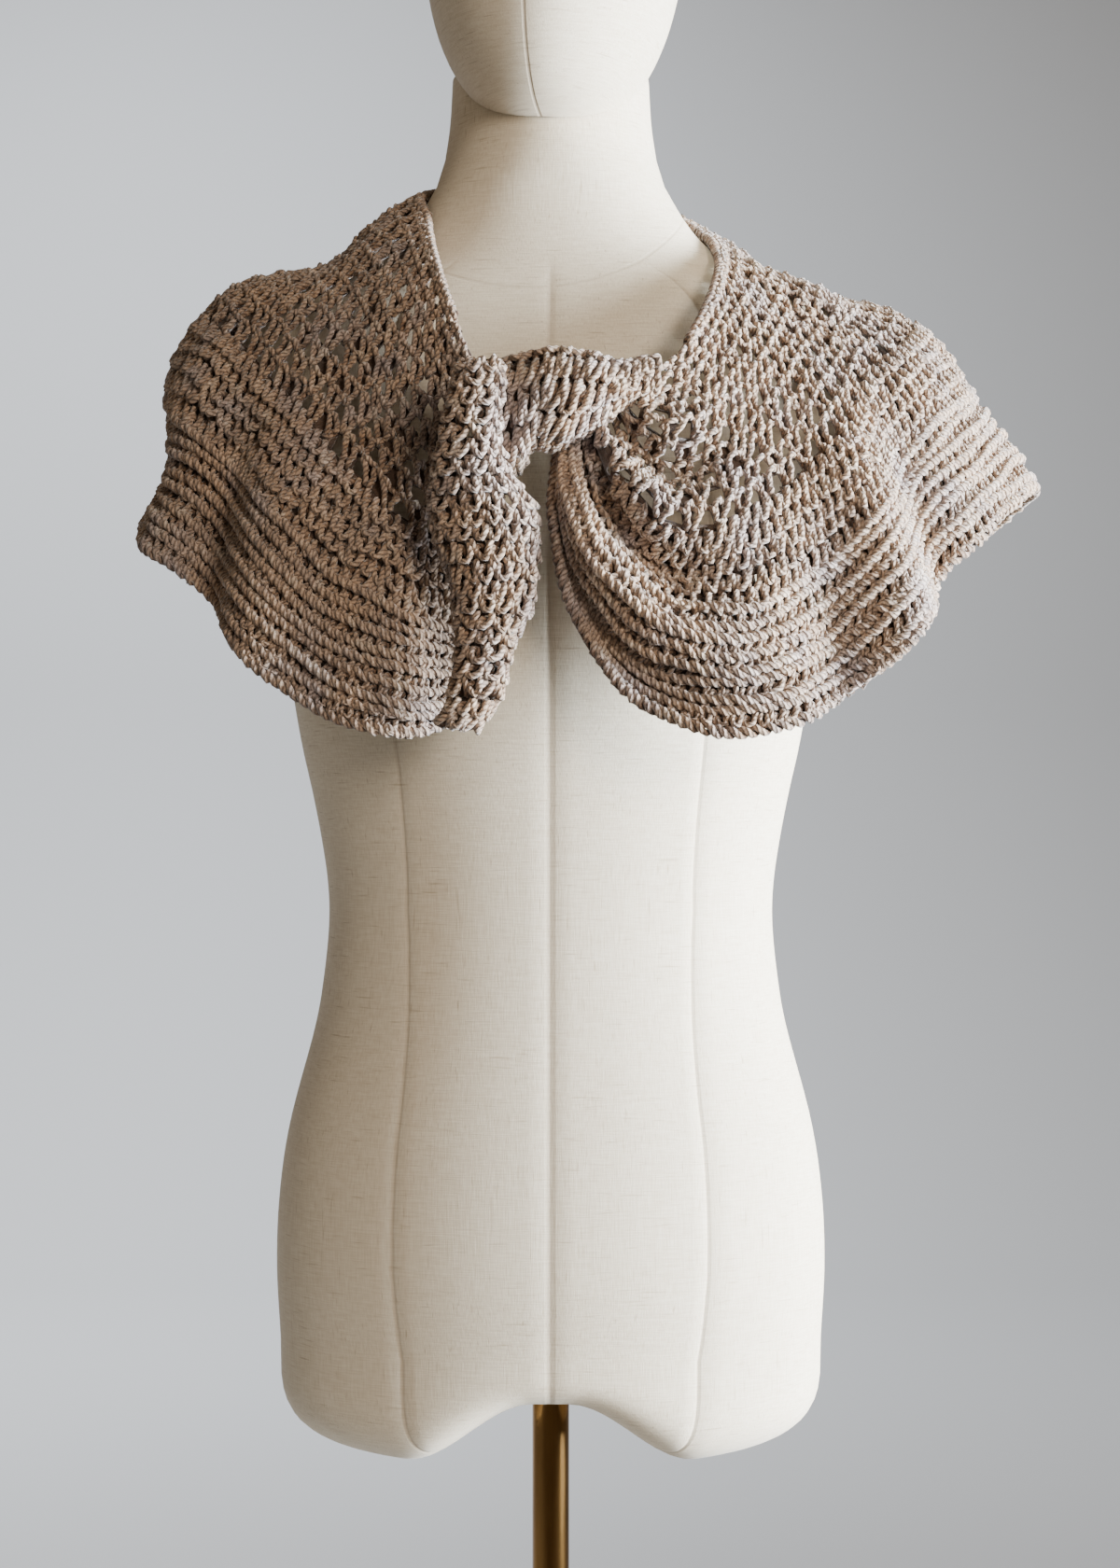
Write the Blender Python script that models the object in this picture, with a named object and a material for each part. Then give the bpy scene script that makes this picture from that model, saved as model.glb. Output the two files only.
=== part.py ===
# Crochet capelet with a knotted front, worn on a linen dress form with a head, a brass pole
# and a round base. Tables and sizes are in millimetres, and to_mesh() turns them into metres.
# The front faces -Y, +X is the right of the picture, and the origin is under the base.
import math

import bmesh
import bpy
import numpy as np
from mathutils import Vector
from mathutils.bvhtree import BVHTree

MM = 0.001
SEAM_GAP = 0.3
CLOTH_CLEARANCE = 1.8  # between a worn cloth's inner face and what it lies on

# Dress form
CROTCH_HEIGHT = 791.5
LOBE_DROP = 37.0  # the two rounded hip ends hang this much below the crotch
LOBE_INNER, LOBE_OUTER = 10.0, 80.0
LOBE_ROUNDING = 4.0
FORM_POINTS = 32
FORM_SQUARENESS = 2.25
CAP_SHARES = (0.985, 0.94, 0.86, 0.74, 0.58, 0.42, 0.28, 0.17, 0.08)
# height, half width, front depth, back depth
TORSO_SECTIONS = (
    (820, 153.5, 96, 112),
    (860, 155.5, 102, 120),
    (900, 154.0, 103, 118),
    (941, 148.0, 101, 106),
    (994, 134.0, 96, 88),
    (1022, 129.0, 94, 80),
    (1052, 126.0, 92, 76),
    (1075, 126.5, 92, 77),
    (1100, 130.0, 94, 82),
    (1126, 135.0, 98, 88),
    (1153, 141.0, 104, 93),
    (1182, 146.0, 111, 97),
    (1220, 151.0, 118, 100),
    (1260, 156.0, 118, 103),
    (1295, 162.0, 111, 105),
    (1322, 170.0, 102, 104),
    (1344, 177.0, 92, 100),
    (1364, 182.5, 84, 95),
    (1382, 181.0, 77, 91),
    (1396, 171.0, 72, 87),
    (1407, 151.0, 68, 84),
    (1417, 121.0, 64, 81),
    (1428, 99.0, 60, 78),
    (1440, 85.0, 57, 74),
    (1453, 75.0, 55, 70),
    (1470, 65.0, 56, 68),
)
# The round upper neck that the head turns on: height, radius
NECK_CENTRE_Y = 6.0
NECK_RINGS = (
    (1487, 60.5),
    (1508, 57.5),
    (1533, 56.0),
)
HEAD_CLEARANCE = 1.2
HEAD_CENTRE = (4.5, -30.0, 1632.0)
HEAD_HALF_WIDTH, HEAD_FRONT, HEAD_BACK = 73.0, 92.0, 98.0
HEAD_LOWER, HEAD_UPPER = 135.0, 110.0
HEAD_LOWER_POWER, HEAD_UPPER_POWER = 2.5, 2.15
HEAD_TILT = (math.radians(-8), math.radians(2.5), math.radians(-10))
HEAD_RINGS = 14
HEAD_POINTS = 24

# Stand
POLE_RADIUS = 10.5
BASE_RADIUS, BASE_THICKNESS, BASE_EDGE = 160.0, 9.0, 2.5
SOCKET_RADIUS, SOCKET_HEIGHT, SOCKET_DEPTH = 17.0, 26.0, 30.0

# Cape sections, from the left front edge round the back to the right front edge.
# Each is a curve from the neck edge over a bend point to the hem, as x, y, z.
CAPE_SECTIONS = (
    # name, neck edge, bend, hem
    ("left_edge", (-42, -126, 1360), (-50, -122, 1270), (-49, -129, 1164)),
    ("left_breast", (-50, -113, 1380), (-76, -138, 1290), (-84, -145, 1158)),
    ("left_chest", (-59, -90, 1406), (-102, -130, 1315), (-136, -139, 1182)),
    ("left_front", (-66, -59, 1432), (-150, -98, 1378), (-173, -118, 1217)),
    ("left_fore_shoulder", (-70, -25, 1455), (-200, -46, 1420), (-217, -72, 1262)),
    ("left_shoulder", (-73, 8, 1469), (-222, 8, 1440), (-238, 0, 1282)),
    ("left_rear_shoulder", (-59, 49, 1480), (-186, 74, 1430), (-213, 93, 1262)),
    ("left_back", (-33, 74, 1486), (-105, 122, 1400), (-126, 141, 1235)),
    ("centre_back", (0, 83, 1488), (0, 131, 1395), (0, 149, 1226)),
    ("right_back", (34, 75, 1482), (108, 124, 1398), (132, 144, 1236)),
    ("right_rear_shoulder", (64, 49, 1470), (188, 74, 1428), (235, 96, 1270)),
    ("right_shoulder", (84, 6, 1452), (220, 8, 1434), (272, 0, 1298)),
    ("right_fore_shoulder", (93, -42, 1427), (188, -62, 1395), (224, -92, 1258)),
    ("right_front", (90, -76, 1405), (146, -112, 1340), (180, -132, 1198)),
    ("right_chest", (81, -102, 1382), (106, -146, 1295), (114, -154, 1161)),
    ("right_breast", (70, -122, 1362), (74, -156, 1278), (50, -158, 1171)),
    ("right_corner", (60, -130, 1350), (48, -156, 1295), (13, -156, 1216)),
    ("right_edge", (52, -133, 1349), (32, -149, 1314), (1, -148, 1266)),
    ("right_knot_end", (46, -129, 1348), (24, -136, 1330), (3, -134, 1306)),
)
# Soft folds: place among the sections, width in sections, height out of the cloth, where it starts
CAPE_FOLDS = (
    ("left_breast_roll", 1.1, 0.55, 5, 0.35),
    ("left_pocket_ridge", 2.55, 0.42, 8, 0.30),
    ("left_side_valley", 3.30, 0.30, -15, 0.45),
    ("left_side_ridge", 3.85, 0.40, 8, 0.40),
    ("left_shoulder_dip", 4.75, 0.35, -7, 0.55),
    ("left_rear_ridge", 5.60, 0.40, 9, 0.40),
    ("left_rear_valley", 6.35, 0.35, -11, 0.40),
    ("left_back_ridge", 7.00, 0.33, 8, 0.35),
    ("centre_left_valley", 7.60, 0.28, -9, 0.45),
    ("centre_ridge", 8.15, 0.35, 7, 0.30),
    ("centre_right_valley", 8.85, 0.33, -11, 0.38),
    ("right_back_ridge", 9.45, 0.33, 9, 0.45),
    ("right_rear_valley", 10.05, 0.34, -10, 0.40),
    ("right_rear_ridge", 10.75, 0.36, 8, 0.50),
    ("right_side_valley", 12.25, 0.30, -15, 0.30),
    ("right_side_ridge", 12.85, 0.28, 13, 0.25),
    ("right_hem_valley", 13.45, 0.20, -9, 0.60),
    ("right_pouf", 14.30, 0.80, 9, 0.15),
)
# Broad hollows where the cloth sinks onto the form's shoulders and in again above the hem:
# place among the sections, width in sections, height out of the cloth, how far down, reach up and down
CAPE_HOLLOWS = (
    ("left_shoulder_slope", 5.0, 1.30, -24, 0.24, 0.15),
    ("left_side_hollow", 4.9, 1.20, -19, 0.88, 0.11),
    ("right_shoulder_slope", 11.0, 1.30, -25, 0.26, 0.20),
    ("right_side_hollow", 11.0, 1.00, -8, 0.80, 0.16),
)
# Gathers that run out of the knot along the rows of the right front
GATHER_START, GATHER_FULL, GATHER_FADE = 14.2, 16.2, 17.2
GATHER_HEIGHT, GATHER_WAVES, GATHER_PHASE = 7.0, 3.6, 0.40
GATHER_LOSS = 0.75  # the share of the gathers' height that is gone past GATHER_FADE
GATHER_TOP, GATHER_DEEP = 0.05, 0.3  # how far down the gathers begin, and are at their full height

YOKE_THICKNESS = 3.0
LACE_END, RIB_START = 0.55, 0.755
LACE_ROWS, PLAIN_ROWS = 10, 3
CENTRE_BACK = 8.0
LEFT_COLUMNS, RIGHT_COLUMNS = 36, 44
HOLE_ROWS = (2, 4, 6, 8)
HOLE_SHARE = 0.74  # a gap's share of its grid cell
FIRST_HOLE_SECTION, LAST_HOLE_SECTION = 1.0, 14.6
RIBS, RIB_HEIGHT, BORDER_THICKNESS, BORDER_INNER_ROWS = 8, 2.2, 2.8, 4
RIB_LOSS = 0.85  # the share of the ribs' height that the knot squeezes away

EDGING_RADIUS, EDGING_SIDES, EDGING_CLEARANCE = 3.0, 6, 2.6
EDGING_FROM, EDGING_TO = 1.0, 14.8

# Knot band: x, top, bottom and front of each upright section
BAND_SECTIONS = (
    (56, 1353, 1337, -150.5),
    (46, 1352, 1332, -152.6),
    (35, 1350, 1321, -156.6),
    (24, 1351, 1312, -161.5),
    (15, 1353, 1306, -166),
    (5, 1355, 1305, -168),
    (-4, 1355, 1306, -168),
    (-13, 1354, 1295, -167),
    (-23, 1352, 1291, -164),
    (-34, 1349, 1298, -158),
)
BAND_THICKNESS, BAND_DEPTH_SHARE, BAND_LEAST_DEPTH = 3.4, 0.67, 5.0
BAND_ACROSS, BAND_TURN = 10, 0.18
BAND_CREASES, BAND_CREASE_DEPTH = 3.0, 1.8
BAND_CLEARANCE, TAIL_CLEARANCE = 0.6, 1.7  # from the cloth behind, along the line of sight

# Hanging end of the left front: height, left edge, right edge and front of each level section
TAIL_SECTIONS = (
    (1349, -45, -26, -169),
    (1336, -49, -25, -174),
    (1318, -53, -25, -175),
    (1302, -57, -24, -175),
    (1287, -60, -20, -174),
    (1271, -61, -8, -173),
    (1256, -58, -5, -172),
    (1238, -51, -8, -171),
    (1222, -48, -12, -170),
    (1207, -47, -17, -168),
    (1192, -48, -21, -167),
    (1175, -51, -28, -165),
    (1161, -58, -38, -162),
)
TAIL_THICKNESS, TAIL_DEPTH_SHARE, TAIL_ACROSS, TAIL_TURN = 3.2, 0.62, 10, 0.20
TAIL_RUFFLES, TAIL_RUFFLE_DEPTH = 3.5, 1.6
TAIL_RUFFLE_EDGE = -0.5  # the tail's right edge, past this cosine, is ruffled

VIEWER_Y = -600.0  # well in front of everything
SHARP_ANGLE = math.radians(40)


def smoothstep(low, high, value):
    share = np.clip((value - low) / (high - low), 0.0, 1.0)
    return share * share * (3 - 2 * share)


def spline(rows, places):
    """Points of a smooth curve through the rows, at places counted in rows (Catmull-Rom)."""
    rows = np.asarray(rows, float)
    places = np.clip(np.asarray(places, float), 0, len(rows) - 1)
    first = np.minimum(places.astype(int), len(rows) - 2)
    share = (places - first)[..., None]
    ends = np.concatenate([[2 * rows[0] - rows[1]], rows, [2 * rows[-1] - rows[-2]]])
    before, here, there, after = (ends[first + k] for k in range(4))
    return 0.5 * (
        2 * here
        + (there - before) * share
        + (2 * before - 5 * here + 4 * there - after) * share**2
        + (3 * here - before - 3 * there + after) * share**3
    )


def unit(vectors):
    return vectors / np.maximum(np.linalg.norm(vectors, axis=-1, keepdims=True), 1e-9)


def grid_normals(grid):
    """Outward normals of a grid whose rows run down the cloth and columns round it."""
    down = np.gradient(grid, axis=0)
    round_it = np.gradient(grid, axis=1)
    return unit(np.cross(round_it, down))


def to_mesh(name, points, faces, material):
    """One closed object from points in millimetres."""
    mesh = bpy.data.meshes.new(name)
    mesh.from_pydata([tuple(p) for p in np.asarray(points) * MM], [], faces)
    editable = bmesh.new()
    editable.from_mesh(mesh)
    bmesh.ops.recalc_face_normals(editable, faces=editable.faces)
    bmesh.ops.triangulate(editable, faces=editable.faces)
    editable.to_mesh(mesh)
    editable.free()
    mesh.shade_smooth()
    mesh.set_sharp_from_angle(angle=SHARP_ANGLE)
    mesh.materials.append(material)
    made = bpy.data.objects.new(name, mesh)
    bpy.context.collection.objects.link(made)
    return made


def finish(name, colour, roughness, metallic=0.0):
    material = bpy.data.materials.new(name)
    material.use_nodes = True
    shader = material.node_tree.nodes["Principled BSDF"]
    shader.inputs["Base Color"].default_value = (*colour, 1)
    shader.inputs["Roughness"].default_value = roughness
    shader.inputs["Metallic"].default_value = metallic
    return material


def tree_of(made):
    """A search tree of an object's faces, in millimetres."""
    mesh = made.data
    points = [v.co / MM for v in mesh.vertices]
    return BVHTree.FromPolygons(points, [p.vertices for p in mesh.polygons])


def rest_on(points, tree, clearance):
    """The points, moved out where they are nearer to the solid than clearance."""
    moved = np.array(points, float)
    flat = moved.reshape(-1, 3)
    for i, point in enumerate(flat):
        place, normal, _, _ = tree.find_nearest(Vector(point))
        if (Vector(point) - place).dot(normal) < clearance:
            flat[i] = place + normal * clearance
    return moved


def in_front_of(points, trees, clearance):
    """The points, moved towards the viewer until they clear the solids behind them."""
    moved = np.array(points, float)
    flat = moved.reshape(-1, 3)
    for i, point in enumerate(flat):
        start = Vector((point[0], VIEWER_Y, point[2]))
        for tree in trees:
            hit = tree.ray_cast(start, Vector((0, 1, 0)))[0]
            if hit is not None:
                flat[i, 1] = min(flat[i, 1], hit.y - clearance)
    return moved


# Dress form
def level_ring(height, half_width, front, back, count, squareness):
    turn = np.linspace(0, 2 * math.pi, count, endpoint=False)
    across, along = np.cos(turn), np.sin(turn)
    x = half_width * np.sign(across) * np.abs(across) ** (2 / squareness)
    y = np.where(along < 0, front, back) * np.sign(along) * np.abs(along) ** (2 / squareness)
    return np.stack([x, y, np.full(count, float(height))], axis=1)


def stacked_rings(rings):
    """Faces and points of a closed solid through rings of equal count, bottom ring first."""
    count = len(rings[0])
    faces = [list(range(count))[::-1]]
    for level in range(len(rings) - 1):
        low, high = level * count, (level + 1) * count
        for i in range(count):
            j = (i + 1) % count
            faces.append([low + i, low + j, high + j, high + i])
    faces.append(list(range((len(rings) - 1) * count, len(rings) * count)))
    return np.concatenate(rings), faces


def round_ring(height, radius, count, centre_y=0.0):
    return level_ring(height, radius, radius, radius, count, 2.0) + [0, centre_y, 0]


def hip_floor(x):
    return CROTCH_HEIGHT - LOBE_DROP * smoothstep(LOBE_INNER, LOBE_OUTER, np.abs(x))


def make_torso(material):
    height, half_width, front, back = TORSO_SECTIONS[0]
    wall = level_ring(height, half_width, front, back, FORM_POINTS, FORM_SQUARENESS)
    rings = []
    for share in reversed(CAP_SHARES):
        ring = wall * [share, share, 1]
        floor = hip_floor(ring[:, 0])
        rise = 1 - (1 - share**LOBE_ROUNDING) ** (1 / LOBE_ROUNDING)
        ring[:, 2] = floor + (height - floor) * rise
        rings.append(ring)
    for section in TORSO_SECTIONS:
        rings.append(level_ring(*section, FORM_POINTS, FORM_SQUARENESS))
    for height, radius in NECK_RINGS:
        rings.append(round_ring(height, radius, FORM_POINTS, NECK_CENTRE_Y))
    return to_mesh("form_torso", *stacked_rings(rings), material)


def make_head(material):
    """An egg without a face, hollowed where it sits over the top of the neck."""
    shares = np.sin(np.linspace(-1, 1, HEAD_RINGS + 2)[1:-1] * math.pi / 2)
    rings = []
    for share in shares:
        lower = share < 0
        power = HEAD_LOWER_POWER if lower else HEAD_UPPER_POWER
        width = (1 - abs(share) ** power) ** (1 / power)
        ring = level_ring(
            share * (HEAD_LOWER if lower else HEAD_UPPER),
            HEAD_HALF_WIDTH * width,
            HEAD_FRONT * width,
            HEAD_BACK * width,
            HEAD_POINTS,
            2.0,
        )
        rings.append(ring)
    head = to_mesh("form_head", *stacked_rings(rings), material)
    head.location = Vector(HEAD_CENTRE) * MM
    head.rotation_euler = HEAD_TILT
    grown = [(height, radius + HEAD_CLEARANCE) for height, radius in NECK_RINGS]
    neck = [round_ring(*ring, FORM_POINTS, NECK_CENTRE_Y) for ring in grown]
    neck[-1][:, 2] += SEAM_GAP
    cutter = to_mesh("neck_cutter", *stacked_rings(neck), material)
    cutter.hide_render = True
    cutter.display_type = "WIRE"
    cut = head.modifiers.new("neck_socket", "BOOLEAN")
    cut.operation = "DIFFERENCE"
    cut.object = cutter
    cut.solver = "EXACT"
    return head


# Stand
def turned(name, profile, count, material):
    """A solid of revolution from (radius, height) pairs, flat across its first and last ring."""
    rings = [round_ring(height, radius, count) for radius, height in profile]
    return to_mesh(name, *stacked_rings(rings), material)


def make_stand(material):
    edge, top = BASE_EDGE, BASE_THICKNESS
    socket_floor = SOCKET_HEIGHT + top - SOCKET_DEPTH
    turned(
        "base",
        [
            (BASE_RADIUS - edge, 0),
            (BASE_RADIUS, edge),
            (BASE_RADIUS, top - edge),
            (BASE_RADIUS - edge, top),
            (SOCKET_RADIUS + 3 * edge, top + edge),
            (SOCKET_RADIUS, top + 3 * edge),
            (SOCKET_RADIUS, top + SOCKET_HEIGHT - edge / 2),
            (SOCKET_RADIUS - edge / 2, top + SOCKET_HEIGHT),
            (POLE_RADIUS + SEAM_GAP, top + SOCKET_HEIGHT),
            (POLE_RADIUS + SEAM_GAP, socket_floor),
        ],
        40,
        material,
    )
    turned(
        "pole",
        [(POLE_RADIUS, socket_floor + SEAM_GAP), (POLE_RADIUS, CROTCH_HEIGHT - SEAM_GAP)],
        24,
        material,
    )


# Cape
def cape_frame(place, down):
    """Points of the cape before its folds, at a place among the sections and a share down it."""
    neck, bend, hem = (spline([s[k] for s in CAPE_SECTIONS], place) for k in (1, 2, 3))
    down = np.asarray(down)[..., None]
    return neck * (1 - down) ** 2 + 2 * bend * down * (1 - down) + hem * down**2


def fold_height(place, down):
    height = np.zeros(np.broadcast(place, down).shape)
    for _, centre, width, rise, start in CAPE_FOLDS:
        height += rise * np.exp(-(((place - centre) / width) ** 2)) * smoothstep(start, 1.0, down)
    for _, centre, width, rise, level, reach in CAPE_HOLLOWS:
        spread = ((place - centre) / width) ** 2 + ((down - level) / reach) ** 2
        height += rise * np.exp(-spread)
    gather = smoothstep(GATHER_START, GATHER_FULL, place)
    gather *= 1 - GATHER_LOSS * smoothstep(GATHER_FULL, GATHER_FADE, place)
    wave = np.sin(2 * math.pi * (GATHER_WAVES * down + GATHER_PHASE))
    return height + GATHER_HEIGHT * gather * wave * smoothstep(GATHER_TOP, GATHER_DEEP, down)


class Cape:
    """The cape's middle surface and its normals on one grid: rows run down, columns round it."""

    def __init__(self, places, downs, form):
        place, down = np.meshgrid(places, downs)
        flat = cape_frame(place, down)
        folded = flat + grid_normals(flat) * fold_height(place, down)[..., None]
        self.middle = rest_on(folded, form, CLOTH_CLEARANCE + YOKE_THICKNESS / 2)
        self.edging = rest_on(self.middle[0], form, EDGING_RADIUS + EDGING_CLEARANCE)
        along = unit(np.gradient(self.edging, axis=0))
        below = self.middle[1] - self.edging
        room = np.linalg.norm(below, axis=1, keepdims=True)
        lean = np.sqrt(1 - (along * unit(below)).sum(axis=1, keepdims=True) ** 2)
        drop = np.minimum((EDGING_RADIUS + SEAM_GAP) / lean, room / 2)
        self.middle[0] = self.edging + unit(below) * drop
        self.normals = grid_normals(self.middle)
        self.places = places

    def piece(self, rows, columns, seams):
        """The points and normals of a part of the grid, moved in by half a gap at its seams."""
        middle = self.middle[rows, columns].copy()
        if "top" in seams:
            middle[0] += unit(middle[1] - middle[0]) * SEAM_GAP / 2
        if "bottom" in seams:
            middle[-1] -= unit(middle[-1] - middle[-2]) * SEAM_GAP / 2
        if "start" in seams:
            middle[:, 0] += unit(middle[:, 1] - middle[:, 0]) * SEAM_GAP / 2
        if "end" in seams:
            middle[:, -1] -= unit(middle[:, -1] - middle[:, -2]) * SEAM_GAP / 2
        return middle, self.normals[rows, columns], self.places[columns]


def index_rows(first, rows, columns):
    """The point numbers of a grid, row by row, counted from its first point."""
    return [[first + r * columns + c for c in range(columns)] for r in range(rows)]


def wall(name, outer, inner, material, holes=()):
    """A closed wall between an outer and an inner grid with the same columns.
    A hole is a cell (row, column) left out of both, and needs equal rows."""
    rows, columns = outer.shape[:2]
    inner_rows = inner.shape[0]
    out = index_rows(0, rows, columns)
    into = index_rows(rows * columns, inner_rows, columns)
    holes = set(holes)
    faces = []
    for r in range(rows - 1):
        for c in range(columns - 1):
            if (r, c) not in holes:
                faces.append([out[r][c], out[r][c + 1], out[r + 1][c + 1], out[r + 1][c]])
    for r in range(inner_rows - 1):
        for c in range(columns - 1):
            if (r, c) not in holes:
                faces.append([into[r][c], into[r + 1][c], into[r + 1][c + 1], into[r][c + 1]])
    for r, c in holes:
        corners = [(r, c), (r, c + 1), (r + 1, c + 1), (r + 1, c)]
        for (r0, c0), (r1, c1) in zip(corners, corners[1:] + corners[:1]):
            faces.append([out[r0][c0], out[r1][c1], into[r1][c1], into[r0][c0]])
    for c in range(columns - 1):
        faces.append([out[0][c], into[0][c], into[0][c + 1], out[0][c + 1]])
        faces.append([out[-1][c], out[-1][c + 1], into[-1][c + 1], into[-1][c]])
    for c in (0, columns - 1):
        if rows == inner_rows:
            for r in range(rows - 1):
                faces.append([out[r][c], out[r + 1][c], into[r + 1][c], into[r][c]])
        else:
            faces.append([row[c] for row in out] + [row[c] for row in reversed(into)])
    points = np.concatenate([outer.reshape(-1, 3), inner.reshape(-1, 3)])
    return to_mesh(name, points, faces, material)


def lace_gaps(places):
    """The grid cells of the lace that are cut through, every second one, staggered."""
    gaps = []
    for n, row in enumerate(HOLE_ROWS):
        for column in range(2 + n % 2, len(places) - 3, 2):
            middle = (places[column] + places[column + 1]) / 2
            if FIRST_HOLE_SECTION < middle < LAST_HOLE_SECTION:
                gaps.append((row, column))
    return gaps


def narrowed(grid, gaps):
    """The grid with the corners of each gap drawn in, so that the gap is smaller than its cell."""
    grid = grid.copy()
    for r, c in gaps:
        cell = grid[r : r + 2, c : c + 2]
        centre = cell.reshape(-1, 3).mean(axis=0)
        grid[r : r + 2, c : c + 2] = centre + (cell - centre) * HOLE_SHARE
    return grid


def make_yoke(name, cape, columns, seam, form, material):
    rows = slice(0, LACE_ROWS + PLAIN_ROWS + 1)
    middle, normals, places = cape.piece(rows, columns, ("bottom", seam))
    gaps = lace_gaps(places)
    middle = narrowed(middle, gaps)
    half = YOKE_THICKNESS / 2
    outer = rest_on(middle + normals * half, form, CLOTH_CLEARANCE + half)
    inner = rest_on(middle - normals * half, form, CLOTH_CLEARANCE)
    return wall(name, outer, inner, material, gaps)


def make_border(name, cape, columns, seam, form, material):
    """The border's ribs run along the hem, raised in its outer face over a plain inside."""
    rows = slice(LACE_ROWS + PLAIN_ROWS, None)
    middle, normals, places = cape.piece(rows, columns, ("top", seam))
    half = BORDER_THICKNESS / 2
    squeeze = 1 - RIB_LOSS * smoothstep(GATHER_FULL - 1, GATHER_FADE, places)
    ridge = np.arange(len(middle)) % 2
    raised = half + RIB_HEIGHT * ridge[:, None] * squeeze[None, :]
    outer = middle + normals * raised[..., None]
    plain = np.linspace(0, 2 * RIBS, BORDER_INNER_ROWS + 1).round().astype(int)
    inner = rest_on((middle - normals * half)[plain], form, CLOTH_CLEARANCE)
    return wall(name, outer, inner, material)


def tube(name, path, radius, sides, material):
    """A closed round tube along a path, with flat ends."""
    along = unit(np.gradient(path, axis=0))
    side = unit(np.cross(along, [0, 0, 1.0]))
    up = np.cross(side, along)
    turn = np.linspace(0, 2 * math.pi, sides, endpoint=False)
    ring = np.cos(turn)[None, :, None] * side[:, None] + np.sin(turn)[None, :, None] * up[:, None]
    rings = path[:, None] + radius * ring
    return to_mesh(name, *stacked_rings(list(rings)), material)


def make_neck_edging(cape, material):
    edged = (cape.places > EDGING_FROM) & (cape.places < EDGING_TO)
    return tube("neck_edging", cape.edging[edged], EDGING_RADIUS, EDGING_SIDES, material)


# Knot
def arc_section(turn_past, count):
    """Cosines and sines of a bow that turns a little past its two ends."""
    turn = np.linspace(-turn_past, math.pi + turn_past, count)
    return np.cos(turn), np.sin(turn)


def closed_bow(name, middle, thickness, material):
    normals = grid_normals(middle)
    half = thickness / 2
    return wall(name, middle + normals * half, middle - normals * half, material)


def make_band(behind, material):
    """The band that gathers the two fronts: a bowed strip, creased along its length."""
    table = np.array(BAND_SECTIONS, float)
    rows = spline(table, np.linspace(0, len(table) - 1, 2 * len(table) - 1))
    across, out = arc_section(BAND_TURN, BAND_ACROSS + 1)
    middle = []
    for x, top, bottom, front in rows:
        half = (top - bottom) / 2 - BAND_THICKNESS / 2
        depth = max(half * BAND_DEPTH_SHARE, BAND_LEAST_DEPTH)
        crease = BAND_CREASE_DEPTH * np.cos(BAND_CREASES * math.pi * across) * out.clip(0)
        z = (top + bottom) / 2 + half * across
        y = front + depth * (1 - out) - crease
        middle.append(np.stack([np.full_like(z, x), y, z], axis=1))
    middle = np.array(middle).transpose(1, 0, 2)[:, ::-1]
    middle = in_front_of(middle, behind, BAND_CLEARANCE + BAND_THICKNESS / 2)
    return closed_bow("knot_band", middle, BAND_THICKNESS, material)


def make_tail(behind, material):
    """The drawn-through end of the left front, which hangs open towards the form."""
    table = np.array(TAIL_SECTIONS, float)
    levels = np.linspace(0, len(table) - 1, 2 * len(table) - 1)
    rows = spline(table, levels)
    across, out = arc_section(TAIL_TURN, TAIL_ACROSS + 1)
    middle = []
    for n, (z, left, right, front) in enumerate(rows):
        half = (right - left) / 2 - TAIL_THICKNESS / 2
        depth = half * TAIL_DEPTH_SHARE
        ruffle = TAIL_RUFFLE_DEPTH * math.sin(2 * math.pi * TAIL_RUFFLES * n / len(rows))
        x = (left + right) / 2 - half * across + ruffle * (across < TAIL_RUFFLE_EDGE)
        y = front + depth * (1 - out)
        middle.append(np.stack([x, y, np.full_like(x, z)], axis=1))
    middle = in_front_of(np.array(middle), behind, TAIL_CLEARANCE + TAIL_THICKNESS / 2)
    return closed_bow("left_tail", middle, TAIL_THICKNESS, material)


def main():
    for made in list(bpy.data.objects):
        bpy.data.objects.remove(made)
    linen = finish("linen", (0.72, 0.66, 0.55), 0.85)
    brass = finish("brass", (0.45, 0.29, 0.10), 0.28, 1.0)
    yarn = finish("yarn", (0.42, 0.34, 0.29), 0.95)

    torso = make_torso(linen)
    make_head(linen)
    make_stand(brass)

    form = tree_of(torso)
    last = len(CAPE_SECTIONS) - 1
    left_places = np.linspace(0, CENTRE_BACK, LEFT_COLUMNS + 1)
    right_places = np.linspace(CENTRE_BACK, last, RIGHT_COLUMNS + 1)[1:]
    lace_rows = np.linspace(0.0, LACE_END, LACE_ROWS + 1)
    plain_rows = np.linspace(LACE_END, RIB_START, PLAIN_ROWS + 1)[1:]
    rib_rows = np.linspace(RIB_START, 1.0, 2 * RIBS + 1)[1:]
    cape = Cape(
        np.concatenate([left_places, right_places]),
        np.concatenate([lace_rows, plain_rows, rib_rows]),
        form,
    )
    left = slice(0, LEFT_COLUMNS + 1)
    right = slice(LEFT_COLUMNS, None)
    make_yoke("yoke_left", cape, left, "end", form, yarn)
    yoke_right = make_yoke("yoke_right", cape, right, "start", form, yarn)
    border_left = make_border("border_left", cape, left, "end", form, yarn)
    border_right = make_border("border_right", cape, right, "start", form, yarn)
    make_neck_edging(cape, yarn)
    cloth = [tree_of(yoke_right), tree_of(border_right)]
    band = make_band(cloth, yarn)
    make_tail([tree_of(band), tree_of(border_left), *cloth], yarn)


main()
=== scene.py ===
import math

import bpy
import numpy as np
from mathutils import Euler, Matrix, Vector
from mathutils.bvhtree import BVHTree


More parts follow.
